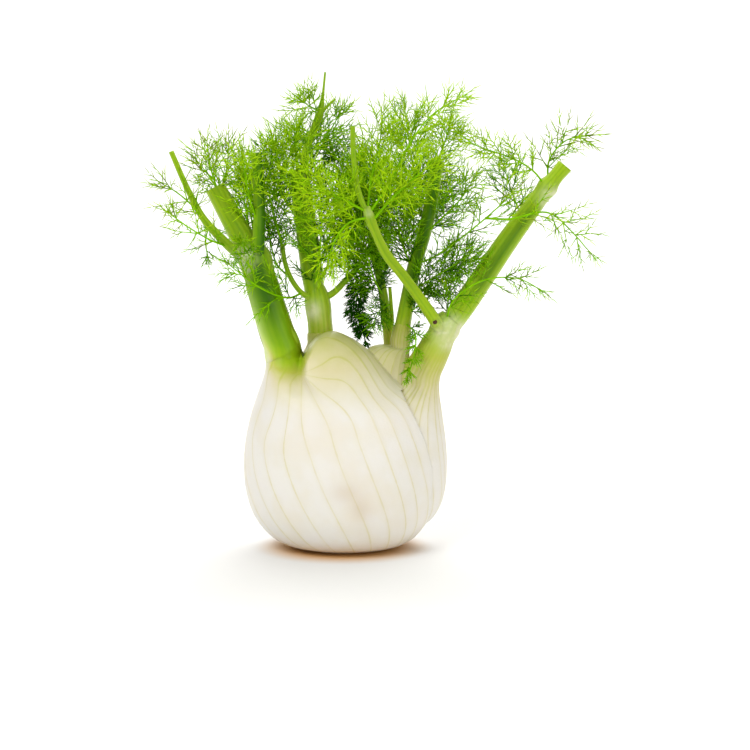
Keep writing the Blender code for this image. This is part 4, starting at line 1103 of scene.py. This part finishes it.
FRONDS = [
    # On the left stalk
    Frond("frond_left_outer", 13, 3, dry=0.4, axes=[
        [(-64, -10, 156.5), (-70, -13.5, 164), (-77, -15, 170), (-84, -15, 174)]]),
    Frond("frond_left_low", 12, 3, dry=0.2, axes=[
        [(-52, -8.8, 143.5), (-60, -14.5, 147), (-70, -17, 153), (-81, -17, 161)]]),
    Frond("frond_left_hanging", 6, 2, dry=0.4, axes=[
        [(-62, -9.9, 154), (-63.5, -9.5, 146), (-62, -10.5, 137)]]),
    Frond("frond_left_crown_front", 16, 4, leafy=0.72, dry=0.4, axes=[
        [(-57.5, -1.3, 167), (-61, -9, 181), (-63, -11, 197)]]),
    Frond("frond_left_crown", 15, 4, leafy=0.75, dry=0.25, axes=[
        [(-57, -1.3, 166), (-54, 4, 181), (-53, 5, 196)]]),
    Frond("frond_left_crown_back", 13, 3, dry=0.4, axes=[
        [(-55, -1.5, 162), (-62, 10, 174), (-70, 16, 184)]]),
    Frond("frond_left_stub", 15, 4, leafy=0.75, axes=[
        [(-38.8, -8.8, 153), (-43, -15, 168), (-45, -18, 182), (-46, -18, 196)]]),
    Frond("frond_left_collar", 8, 3, axes=[
        [(-42, -4, 137), (-45, -15, 143), (-48, -20, 148)]]),
    Frond("frond_left_back", 16, 4, leafy=0.8, axes=[
        [(-41, -2, 138), (-43, 14, 152), (-46, 20, 168), (-48, 24, 184)]]),
    Frond("frond_left_between", 12, 4, axes=[
        [(-45, -2.5, 144), (-44.5, -3, 155), (-46, 0, 166), (-46.5, 2, 178)]]),
    # On the middle stalk
    Frond("frond_front_cross", 14, 4, axes=[
        [(-19.5, 7.5, 120.5), (-26.5, -8, 120), (-37, -17, 125), (-48, -18.5, 133), (-55, -18, 139)]]),
    Frond("frond_middle_left", 18, 5, more=2, axes=[
        [(-28.3, 4.2, 142.5), (-32, 0, 157), (-34.5, -3, 170), (-36, -2, 184)]]),
    Frond("frond_middle_upper", 18, 5, leafy=0.75, axes=[
        [(-20, 12, 161), (-27, 4, 174), (-31, -4, 188), (-33, -8, 203)]]),
    Frond("frond_middle_top", 16, 5, leafy=0.6, axes=[
        [(-21.7, 12, 176), (-22, 4, 189), (-23, -2, 200), (-25, -4, 212)]]),
    Frond("frond_long_stem_right", 13, 4, leafy=0.8, axes=[
        [(-17.8, 19.2, 184), (-9, 20, 193), (-3, 20, 202), (0, 20, 210)]]),
    Frond("frond_long_stem_left", 12, 3, leafy=0.6, axes=[
        [(-11, 16, 205.5), (-17, 12, 209), (-23, 9, 214)]]),
    Frond("frond_middle_front", 18, 5, more=2, axes=[
        [(-14, 12, 121), (-11, -4, 140), (-9.5, -13, 158), (-11, -18, 175)]]),
    Frond("frond_middle_back", 20, 5, more=5, axes=[
        [(-12.3, 18, 130), (-5, 26, 152), (-1, 30, 173), (1, 32, 192)]]),
    Frond("frond_middle_right", 16, 5, more=5, axes=[
        [(1, 12, 126), (4, 9, 140), (4, 4, 156), (3, 0, 172)]]),
    Frond("frond_dark", 5.5, 9, more=9, leafy=1.0, axes=[
        [(5.6, 12, 131), (7, 14, 123), (6, 15, 112), (10.5, 16.5, 96.5)]]),
    Frond("frond_back_left", 20, 5, more=3, axes=[
        [(-14.5, 20.5, 147), (-25, 28, 159), (-34, 35, 172), (-39, 39, 187)]]),
    Frond("frond_back_top", 18, 5, more=2, leafy=0.75, axes=[
        [(-17.3, 20.8, 169), (-15, 30, 182), (-16, 37, 197)]]),
    Frond("frond_middle_left_low", 12, 4, axes=[
        [(-24.5, 5.5, 127.5), (-31, 6, 134), (-34, 7, 144), (-35, 8, 155)]]),
    # On the right stalk, round the head of the branch that crosses in front
    Frond("frond_head_left", 17, 6, axes=[
        [(11.8, -28, 161), (1, -32, 167), (-10, -35, 172), (-22, -33, 179)]]),
    Frond("frond_head_long", 14, 6, axes=[
        [(12.2, -28.6, 160.5), (22, -28, 175), (29, -24, 189), (40, -19, 204), (60, -15, 216)]]),
    Frond("frond_head_up", 16, 6, axes=[
        [(11.5, -27.2, 160.5), (13, -22, 174), (17, -19, 191), (19, -18, 208)]]),
    Frond("frond_head_right", 17, 6, axes=[
        [(13.2, -27.6, 156.5), (23, -33, 168), (34, -33, 178), (46, -30, 186)]]),
    Frond("frond_head_down", 15, 5, axes=[
        [(12.3, -28, 159), (2, -35, 156), (-4, -37, 147), (-7, -35, 135)]]),
    # On the back stalk
    Frond("frond_back_tip", 13, 4, axes=[
        [(44.2, 8, 181), (47, 4, 190), (50, 2, 200)]]),
    Frond("frond_back_upper", 17, 5, more=4, axes=[
        [(40.2, 8, 158.5), (34, 12, 175), (31, 14, 192), (29, 14, 209)]]),
    Frond("frond_back_side", 14, 5, axes=[
        [(38, 8, 148), (47, 2, 157), (56, -2, 167), (62, -4, 177)]]),
    Frond("frond_long_right", 14, 5, dry=0.25, axes=[
        [(33.8, 8, 134), (42, 0, 138), (54, -7, 147), (67, -11, 158), (83, -13, 173)],
        [(66, -10.8, 157.2), (76, -14, 157), (95, -16, 160), (107, -15, 150), (117, -14, 138)]]),
    Frond("frond_back_low", 13, 5, more=4, axes=[
        [(31, 7.5, 120.5), (40, 1, 127), (52, -4, 135), (63, -7, 143)]]),
    Frond("frond_back_base", 8, 4, axes=[
        [(29, 7, 110), (35, 3, 115), (39, 2, 123)]]),
    Frond("frond_back_right", 19, 5, more=6, axes=[
        [(37, 8, 145), (40, 23, 162), (42, 31, 179)]]),
    Frond("frond_back_inner", 16, 5, more=7, axes=[
        [(33, 8, 131), (27, 1, 147), (25, -3, 162), (25, -5, 175)]]),
    Frond("frond_axil", 5.5, 5, axes=[
        [(28.4, 6.6, 107), (34, -7, 102), (32.5, -14, 91), (28.5, -19.5, 80)]]),
    # On the heart stalk
    Frond("frond_heart", 18, 6, more=5, axes=[
        [(14, 15, 143.5), (12, 10, 156), (11, 6, 170), (9, 4, 185)]]),
    Frond("frond_heart_front", 14, 5, more=7, axes=[
        [(19, 15.6, 118), (14, 4, 129), (11, -5, 141), (8, -10, 153)]]),
    Frond("frond_heart_low", 9, 4, axes=[
        [(22.6, 12, 115), (17, 6, 112), (14, 2, 106)]]),
    Frond("frond_heart_back", 19, 5, more=6, axes=[
        [(15, 15, 139), (15, 28, 155), (14, 37, 169), (12, 42, 182)]]),
    # On the right stalk, along its thick branch and on its collar
    Frond("frond_right_curl", 10, 6, axes=[
        [(95, 0, 170.5), (88, -6, 179), (78, -8, 185), (69, -8, 188), (61, -8, 191), (51, -7, 199)]]),
    Frond("frond_right_top", 13, 5, dry=0.5, axes=[
        [(95.6, 0, 171.5), (97, 7, 184), (104, 8, 192), (118, 6, 195)]]),
    Frond("frond_right_cross", 12, 5, dry=0.25, axes=[
        [(48, 0, 106), (52, -13, 120), (65, -17, 129), (80, -17, 130), (97, -16, 121)]]),
    Frond("frond_right_back", 15, 4, axes=[
        [(84, 0, 156), (80, 15, 167), (76, 23, 180)]]),
    Frond("frond_right_inner", 12, 4, axes=[
        [(49, 1, 106), (50, 12, 119), (53, 15, 132)]]),
]

print("fronds:", len(FRONDS))

# %% [markdown]
# The first leaflets stand in pairs on the rachis, leaning out by about 43 degrees and turned out
# of the flat at random, because a fennel leaf is bushy rather than flat. The random draws are
# seeded with the frond's number, so they are the same each time.

# %% The first leaflets of a frond
FIRST_PAIR = 0.24
FIRST_PAIR_CROWDED = 0.1
LAST_PAIR = 0.88
LEAFLET_ANGLE = radians(43)
LEAFLET_TWIST = radians(45)
LEAFLET_LIFT = 0.14

# How much the draws move a leaflet along the axis and change its lean and its length
LEAFLET_STRAY = 0.25
LEAFLET_VARIES = 0.2

# The leaflet at the tip, as a share of the frond's longest
TIP_LEAFLET = 0.42

# The points of an axis, counted in steps
AXIS_STEPS = 60

Shoots = namedtuple("Shoots", "start way side bend length")


def leafy_part(frond, axis):
    """The first share of a frond's axis, in AXIS_STEPS steps."""
    count = AXIS_STEPS + 1
    return through(through(axis, count)[: int(count * frond.leafy)], count)


def leaflets_of(frond, fine, rng):
    """Roots, directions and lengths of an axis's leaflets: the pairs along it and the one at its tip.

    A leaflet at the share s of the axis is as long as the frond's reach times sin(pi (0.25 + 0.6 s)).
    """
    pairs = frond.pairs + frond.more
    start = FIRST_PAIR_CROWDED if frond.more else FIRST_PAIR
    draw = rng.uniform(-1.0, 1.0, (pairs, 2, 4))
    share = np.linspace(start, LAST_PAIR, pairs)[:, None] + draw[:, :, 3] * LEAFLET_STRAY / pairs
    share = np.clip(share, 0.08, 0.95)
    index = np.round(share * AXIS_STEPS).astype(int)
    tangent = unit(fine[index + 1] - fine[index - 1])
    across = unit(np.cross(tangent, (0.0, -1.0, 0.0)))
    side = np.array([-1.0, 1.0])[None, :, None]
    out = side * turned(LEAFLET_TWIST * draw[:, :, 0], across, np.cross(tangent, across))
    angle = LEAFLET_ANGLE * (1.2 - 0.4 * share) * (1 + LEAFLET_VARIES * draw[:, :, 1])
    way = unit(turned(angle, tangent, out) + np.array([0.0, 0.0, LEAFLET_LIFT]))
    length = frond.reach * np.sin(pi * (0.25 + 0.6 * share)) * (1 + LEAFLET_VARIES * draw[:, :, 2])
    tip_way = unit(fine[-1] - fine[-5])
    roots = np.vstack([fine[index].reshape(-1, 3), fine[-1] - 0.3 * tip_way])
    ways = np.vstack([way.reshape(-1, 3), tip_way])
    return roots, ways, np.append(length.ravel(), TIP_LEAFLET * frond.reach)


def shoots_from(start, way, length, bend, rng):
    """Shoots that curve to a random side."""
    roll = rng.uniform(0, 2 * pi, len(start))
    across = unit(np.cross(way, (0.3, -1.0, 0.2)))
    side = turned(roll, across, np.cross(way, across))
    return Shoots(start, way, side, rng.normal(0, bend, len(start)), length)


first_axis = leafy_part(FRONDS[0], FRONDS[0].axes[0])
roots, ways, lengths = leaflets_of(FRONDS[0], first_axis, np.random.default_rng(0))
print("the first frond has", len(roots), "leaflets of", lengths.round(1).tolist(), "mm")

# %% [markdown]
# A shoot is a short parabola. Its children start along it and lean out to alternate sides, nearly in
# one plane, as in a feather. The plane itself is turned at random, and the last child carries on at
# the shoot's tip.

# %% Shoots on shoots

# How far children stray from their parent's plane, in radians, where the last child starts, and
# how much of the others' lean it has
SHOOT_ROLL = 0.45
SHOOT_TIP = 0.98
LAST_LEAN = 0.25


def curve_on(shoots, t):
    """The point S + L (t D + b t^2 B) of each shoot at its shares t, and the heading D + 2 b t B."""
    t = t[:, :, None]
    bent = shoots.bend[:, None, None] * shoots.side[:, None]
    curve = t * shoots.way[:, None] + bent * t**2
    start = shoots.start[:, None] + shoots.length[:, None, None] * curve
    return start, shoots.way[:, None] + 2 * t * bent


def sprout(parents, count, first, angle, share, least, bend, rng):
    """The next level of shoots: count on each parent, from the share first of its length to its tip.

    A child's length is the share of its parent's, times 1.2 - 0.5 t, and never below least.
    """
    shape = (len(parents.start), count)
    t = np.linspace(first, 1.0, count) + rng.uniform(-0.5, 0.0, shape) * (1 - first) / count
    t[:, -1] = SHOOT_TIP
    start, heading = curve_on(parents, t)
    heading = unit(heading)
    roll = pi * np.arange(count) + rng.uniform(0, 2 * pi, (shape[0], 1))
    roll = roll + rng.normal(0, SHOOT_ROLL, shape)
    lean = angle * (1.25 - 0.45 * t) * rng.uniform(0.75, 1.25, shape)
    lean[:, -1] *= LAST_LEAN
    across = unit(np.cross(heading, (0.2, -1.0, 0.3)))
    way = turned(lean, heading, turned(roll, across, np.cross(heading, across)))
    length = share * parents.length[:, None] * (1.2 - 0.5 * t) * rng.uniform(0.7, 1.2, shape)
    length = np.maximum(length, least).ravel()
    return shoots_from(start.reshape(-1, 3), way.reshape(-1, 3), length, bend, rng)


def spikes(shoots, knots, thick, thin):
    """Three-sided tapering tubes along all shoots, as points and triangles.

    Each has knots - 1 rings of three points and a tip. A ring's points are C + r (cos a U + sin a V).
    """
    shares = np.broadcast_to(np.linspace(0, 1, knots), (len(shoots.start), knots))
    centre = curve_on(shoots, shares)[0]
    across = unit(np.cross(shoots.way, (0.25, 0.9, -0.35)))
    over = np.cross(shoots.way, across)
    ring = turned(np.arange(0, 6, 2) * pi / 3, across[:, None, None], over[:, None, None])
    radius = np.linspace(thick, thin, knots - 1)[None, :, None, None]
    rings = (centre[:, :-1, None] + radius * ring).reshape(len(centre), -1, 3)
    points = np.concatenate([rings, centre[:, -1:]], axis=1)
    k = np.arange(3)
    n = (k + 1) % 3
    faces = [np.array([[0, 2, 1]])]
    for low in range(0, 3 * (knots - 2), 3):
        faces.append(np.stack([low + k, low + n, low + 3 + n], 1))
        faces.append(np.stack([low + k, low + 3 + n, low + 3 + k], 1))
    last = 3 * (knots - 2)
    faces.append(np.stack([last + k, last + n, np.full(3, last + 3)], 1))
    offset = (np.arange(len(points)) * points.shape[1])[:, None, None]
    return points.reshape(-1, 3), (np.concatenate(faces) + offset).reshape(-1, 3)


trial = shoots_from(roots, ways, lengths, 0.05, np.random.default_rng(1))
print(len(roots), "spikes of 4 knots have", len(spikes(trial, 4, 0.5, 0.3)[1]), "triangles")

# %% [markdown]
# The threads are thin and lit from all round, so their colour carries most of the look: fresh
# yellow-green at the tips, deeper green where they crowd, and here and there a thread that has
# dried brown. One stored value, the tone, runs over this range, and it also carries painted light at
# the front and top of the crown and painted shade at its back and below.

# %% The green of the fronds


DRIED_THREAD = (0.11, 0.035, 0.012)


def frond_green(name, deep, fresh, young):
    """Leaf green from deep to fresh to young by a stored value that also carries painted light and
    shade, and brown where age is high.
    """
    net = Network(name)
    tone_and_light = net.stored("tone_and_light")
    colour = net.layers(
        deep,
        (net.ramp(tone_and_light, 0.0, 0.5), fresh),
        (net.ramp(tone_and_light, 0.5, 1.0), young),
        (net.times(net.ramp(net.clouds(150.0), 0.35, 0.7), 0.35), deep),
        (net.stored("age"), DRIED_THREAD),
    )
    return net.finish(colour, 0.5, Specular_IOR_Level=0.03)


# The second set is a darker copy of the first: painted shade for the frond deep inside the crown
FRESH = ((0.025, 0.14, 0.0), (0.25, 0.59, 0.001), (0.55, 0.84, 0.01))
PAINTED_SHADE_FROND_GREENS = ((0.01, 0.08, 0.0), (0.03, 0.16, 0.001), (0.08, 0.28, 0.003))
fresh_green = frond_green("fennel frond green", *FRESH)
painted_shade_frond_green = frond_green("fennel frond painted shade green", *PAINTED_SHADE_FROND_GREENS)
print("frond materials:", fresh_green.name, "and", painted_shade_frond_green.name)

# %% [markdown]
# A frond's mesh is the rachis and three levels of shoots laid end to end in one array. The tone
# rises with each level and varies from shoot to shoot, and it is raised as painted light on the
# threads at the front and at the top, and lowered as painted shade on those at the back and below.

# %% All fronds
LEAFLET_SIZE = 0.82
CROWDED_SIZE = 0.96

# The threads of the three levels: knots, radius at the root and near the tip, and tone
THREADS = ((5, 0.36, 0.25, 0.40), (4, 0.27, 0.22, 0.48), (3, 0.25, 0.16, 0.60))

# How the second and the third level sprout: the first share along the parent, the lean, the share of
# the parent's length, and the least length in millimetres and as a share of the frond's reach
SPROUTING = ((0.10, radians(42), 0.55, 6.0, 0.42), (0.15, radians(33), 0.65, 5.0, 0.38))
FIRST_BEND = 0.10
LATER_BEND = 0.08

# How many shoots of the second and third level there are on each, on plain, crowded and dry fronds
PLAIN_COUNTS = (7, 4)
CROWDED_COUNTS = (8, 5)
DRY_COUNTS = (4, 4)

# Painted light and shade: how much the tone rises for each millimetre towards the camera and
# upwards. It is as listed at the crown's middle height, and falls no further than over this depth
# below it.
PAINTED_LIGHT_FORWARD = 0.014
PAINTED_LIGHT_UP = 0.010
CROWN_MIDDLE = 163.0
CROWN_DEPTH = 25.0
RACHIS_TONE = 0.42


def rachis(fine, reach):
    """The main axis as a six-sided tapering tube, in points and triangles."""
    line = fine[::2]
    _, across, over = frame_along(line)
    radius = np.linspace(0.3 + 0.018 * reach, 0.26, len(line))[:, None, None]
    ring = turned(np.arange(6) * pi / 3, across[:, None], over[:, None])
    points = np.concatenate([(line[:, None] + radius * ring).reshape(-1, 3), line[:1], line[-1:]])
    i, k = (a.ravel() for a in np.mgrid[0 : len(line) - 1, 0:6])
    n = (k + 1) % 6
    low, high = 6 * i, 6 * i + 6
    sides = [np.stack([low + k, low + n, high + n], 1), np.stack([low + k, high + n, high + k], 1)]
    k, n, end = np.arange(6), (np.arange(6) + 1) % 6, 6 * len(line)
    foot = np.stack([np.full(6, end), n, k], 1)
    head = np.stack([np.full(6, end + 1), end - 6 + k, end - 6 + n], 1)
    return points, np.concatenate([*sides, foot, head])


def three_levels(frond, roots, ways, lengths, rng):
    """The leaflets of an axis, the shoots on them, and the shoots on those."""
    size = CROWDED_SIZE if frond.more and frond.reach > 7 else LEAFLET_SIZE
    counts = DRY_COUNTS if frond.dry else CROWDED_COUNTS if frond.more else PLAIN_COUNTS
    levels = [shoots_from(roots, ways, size * lengths, FIRST_BEND, rng)]
    for count, (first, lean, share, least, least_share) in zip(counts, SPROUTING):
        least = min(least, least_share * frond.reach)
        levels.append(sprout(levels[-1], count, first, lean, share, least, LATER_BEND, rng))
    return levels


def frond_mesh(frond, seed):
    """The whole frond: rachises, leaflets, their leaflets, and the threads, with tone and age."""
    rng = np.random.default_rng(seed)
    wild = np.random.default_rng(1000 + seed)
    parts = []
    for axis in frond.axes:
        fine = leafy_part(frond, axis)
        leaflets = leaflets_of(frond, fine, rng)
        parts.append((*rachis(fine, frond.reach), RACHIS_TONE, 0.0))
        for shoots, (knots, thick, thin, tone_and_light) in zip(three_levels(frond, *leaflets, wild), THREADS):
            points, triangles = spikes(shoots, knots, thick, thin)
            many, each = len(shoots.start), len(points) // len(shoots.start)
            y, z = shoots.start[:, 1], shoots.start[:, 2]
            # Painted light and shade: the tone is raised at the front and top of the crown and lowered
            # at its back and below
            light = tone_and_light - PAINTED_LIGHT_FORWARD * y + PAINTED_LIGHT_UP * np.maximum(z - CROWN_MIDDLE, -CROWN_DEPTH)
            light = np.repeat(np.clip(light, 0.05, 0.85) + wild.normal(0, 0.13, many), each)
            dried = (wild.random(many) < frond.dry)[:, None]
            tipwards = np.minimum(np.arange(each) // 3, knots - 1)[None, :] / (knots - 1)
            parts.append((points, triangles, light, (dried * tipwards).ravel()))
    offsets = np.cumsum([0] + [len(p[0]) for p in parts])
    points = np.vstack([p[0] for p in parts])
    triangles = np.vstack([p[1] + o for p, o in zip(parts, offsets)])
    mesh = fill_mesh(frond.name, points, triangles.ravel(), np.full(len(triangles), 3))
    for key, column in (("tone_and_light", 2), ("age", 3)):
        store(mesh, key, np.concatenate([np.broadcast_to(p[column], len(p[0])) for p in parts]))
    return mesh


count = 0
for seed, frond in enumerate(FRONDS):
    mesh = frond_mesh(frond, seed)
    # The frond deep inside the crown takes the darker copy of the green, as painted shade
    dark = frond.name == "frond_dark"
    finish, slot = (painted_shade_frond_green, "dark_frond") if dark else (fresh_green, "frond")
    place(frond.name + "_threads", mesh, finish, slot, frond.name)
    count += len(mesh.polygons)
print("the fronds have", count, "triangles")

# %% [markdown]
# ## The root plate
#
# Underneath, the roots are cut off flat. The cut is corky and a little browner than the skin, and
# only its rim shows between the bulb and the table.

# %% The root plate
ROOT_PLATE = [
    Ring((-19.0, 0.0), (19.0, 0.0), 0.0, 15.5),
    Ring((-18.6, 0.7), (18.6, 0.7), 0.0, 15.1),
    Ring((-17.5, 1.6), (17.5, 1.6), 0.0, 14.0),
    Ring((-10.0, 3.6), (10.0, 3.6), 0.0, 8.0),
]
CORK = (0.66, 0.55, 0.38)
BROWN_CORK = (0.42, 0.31, 0.18)
CORK_FLECKS = (0.25, 0.17, 0.09)


def corky():
    """Beige cork with brown patches and flecks."""
    net = Network("fennel root cut")
    colour = net.layers(
        CORK,
        (net.ramp(net.clouds(170.0), 0.35, 0.7), BROWN_CORK),
        (net.ramp(net.clouds(900.0), 0.55, 0.7, 0.0, 0.6), CORK_FLECKS),
    )
    return net.finish(colour, 0.75, net.bump(net.clouds(700.0), 0.0003))


def disc(rings, rows, columns):
    """A lofted disc, whose rim wanders by up to a third of a millimetre."""
    turn = np.linspace(0, 2 * pi, columns, endpoint=False)[None, :]
    rough = 0.2 * np.sin(7 * turn + 1) + 0.13 * np.sin(17 * turn)
    return loft(ring_line(rings, rows), turn, rough)


cork = skin("root_plate", disc(ROOT_PLATE, 24, 96), np.zeros((24, 97)))
place("root_plate_cut", cork, corky(), "root_plate", "root_plate")
print("the root plate has", len(cork.polygons), "faces")

# %% [markdown]
# ## The studio
#
# The bulb stands on a white sweep under soft light, so it throws only a faint warm shadow, which
# painted shade on the paper round its foot makes grey and warm brown. A large lamp above and to the
# left gives the round form its shading, a weaker one fills from the right, and a white world lights
# the threads from all sides.

# %% Floor and backdrop
PAINTED_SHADOW_REACH = (0.037, 0.034, 1.0)
PAPER = (0.87, 0.87, 0.87)
PAPER_CLOUDS = (0.85, 0.85, 0.845)
PAINTED_GREY_SHADE = (0.835, 0.838, 0.845)
PAINTED_WARM_SHADOW = (0.70, 0.37, 0.08)
SWEEP_ROWS = 60
SWEEP_COLUMNS = 12


def paper_white():
    """Matt white paper with painted shade: a little greyer near the bulb, and a painted warm brown
    shadow round its foot.

    The painted shadow's reach is the length of (x, y, z) with each axis divided by
    PAINTED_SHADOW_REACH, in metres.
    """
    net = Network("studio paper")
    where = net.node("ShaderNodeTexCoord").outputs["Object"]
    scaled = net.node("ShaderNodeVectorMath", {0: where, 1: PAINTED_SHADOW_REACH}, operation="DIVIDE").outputs[0]
    reach = net.node("ShaderNodeVectorMath", {0: scaled}, operation="LENGTH").outputs["Value"]
    colour = net.layers(
        PAPER_CLOUDS,
        (net.clouds(3.0), PAPER),
        # Painted shade: a grey pool round the bulb, and a painted warm brown shadow round its foot
        (net.ramp(reach, 1.0, 5.0, 1.0, 0.0), PAINTED_GREY_SHADE),
        (net.ramp(reach, 0.6, 1.2, 0.9, 0.0), PAINTED_WARM_SHADOW),
    )
    return net.finish(colour, 0.9)


sweep_line = [(-1.6, 0.0), (-0.4, 0.0), (0.7, 0.0), (1.25, 0.12), (1.5, 0.6), (1.55, 1.9)]
sweep_line = through(sweep_line, SWEEP_ROWS)
sweep_grid = np.zeros((SWEEP_ROWS, SWEEP_COLUMNS, 3))
sweep_grid[:, :, 0] = np.linspace(-2.4, 2.4, SWEEP_COLUMNS)
sweep_grid[:, :, 1] = sweep_line[:, :1]
sweep_grid[:, :, 2] = np.maximum(sweep_line[:, 1:], 0.0) - 0.0001
i, k = (a.ravel() for a in np.mgrid[0 : SWEEP_ROWS - 1, 0 : SWEEP_COLUMNS - 1])
low = i * SWEEP_COLUMNS + k
high = low + SWEEP_COLUMNS
corners = np.stack([low, low + 1, high + 1, high], 1).ravel()
sweep_mesh = fill_mesh("studio_sweep", sweep_grid.reshape(-1, 3) / MM, corners, np.full(len(low), 4))
sweep_mesh.materials.append(paper_white())
sweep = add_object("studio_sweep", sweep_mesh)
print("the sweep has", len(sweep_mesh.polygons), "faces")

# %% Lamps and world


def lamp(name, place_at, aim, size, power, colour=(1.0, 1.0, 1.0)):
    """A square lamp of a size in metres, aimed at a point."""
    light = bpy.data.lights.new(name, "AREA")
    light.size = size
    light.energy = power
    light.color = colour
    obj = add_object(name, light)
    obj.location = place_at
    obj.rotation_euler = (Vector(aim) - Vector(place_at)).to_track_quat("-Z", "Y").to_euler()


lamp("key_lamp", (-0.55, -0.75, 0.95), (0.0, 0.0, 0.08), 0.7, 8.0, (0.96, 0.985, 1.0))
lamp("fill_lamp", (0.7, -0.9, 0.3), (0.0, 0.0, 0.06), 0.8, 3.5)
lamp("top_lamp", (0.2, 0.4, 1.2), (0.0, 0.1, 0.1), 0.9, 8.0)
lamp("backdrop_lamp", (0.0, 0.8, 1.1), (0.0, 1.4, 0.2), 1.2, 9.0)

world = bpy.data.worlds.new("studio_white")
bpy.context.scene.world = world
world.use_nodes = True
world.node_tree.nodes["Background"].inputs[0].default_value = (1.0, 0.93, 0.84, 1.0)
world.node_tree.nodes["Background"].inputs[1].default_value = 0.5
bpy.context.scene.view_settings.view_transform = "Standard"

# %% [markdown]
# The camera looks straight at the broad side from a little above, from a metre away with a long
# lens, so the perspective is gentle, as in the photograph.

# %% Camera
CAMERA_DISTANCE = 1.1
CAMERA_ELEVATION = radians(8)
CAMERA_AIM = Vector((0.0150, 0.0, 0.0825))

back = Vector((0.0, -np.cos(CAMERA_ELEVATION), np.sin(CAMERA_ELEVATION)))
camera = add_object("camera", bpy.data.cameras.new("camera"))
camera.data.lens = 112.0
camera.data.sensor_width = 36.0
camera.location = CAMERA_AIM + CAMERA_DISTANCE * back
camera.rotation_euler = (-back).to_track_quat("-Z", "Y").to_euler()
bpy.context.scene.camera = camera
print("camera at", camera.location)
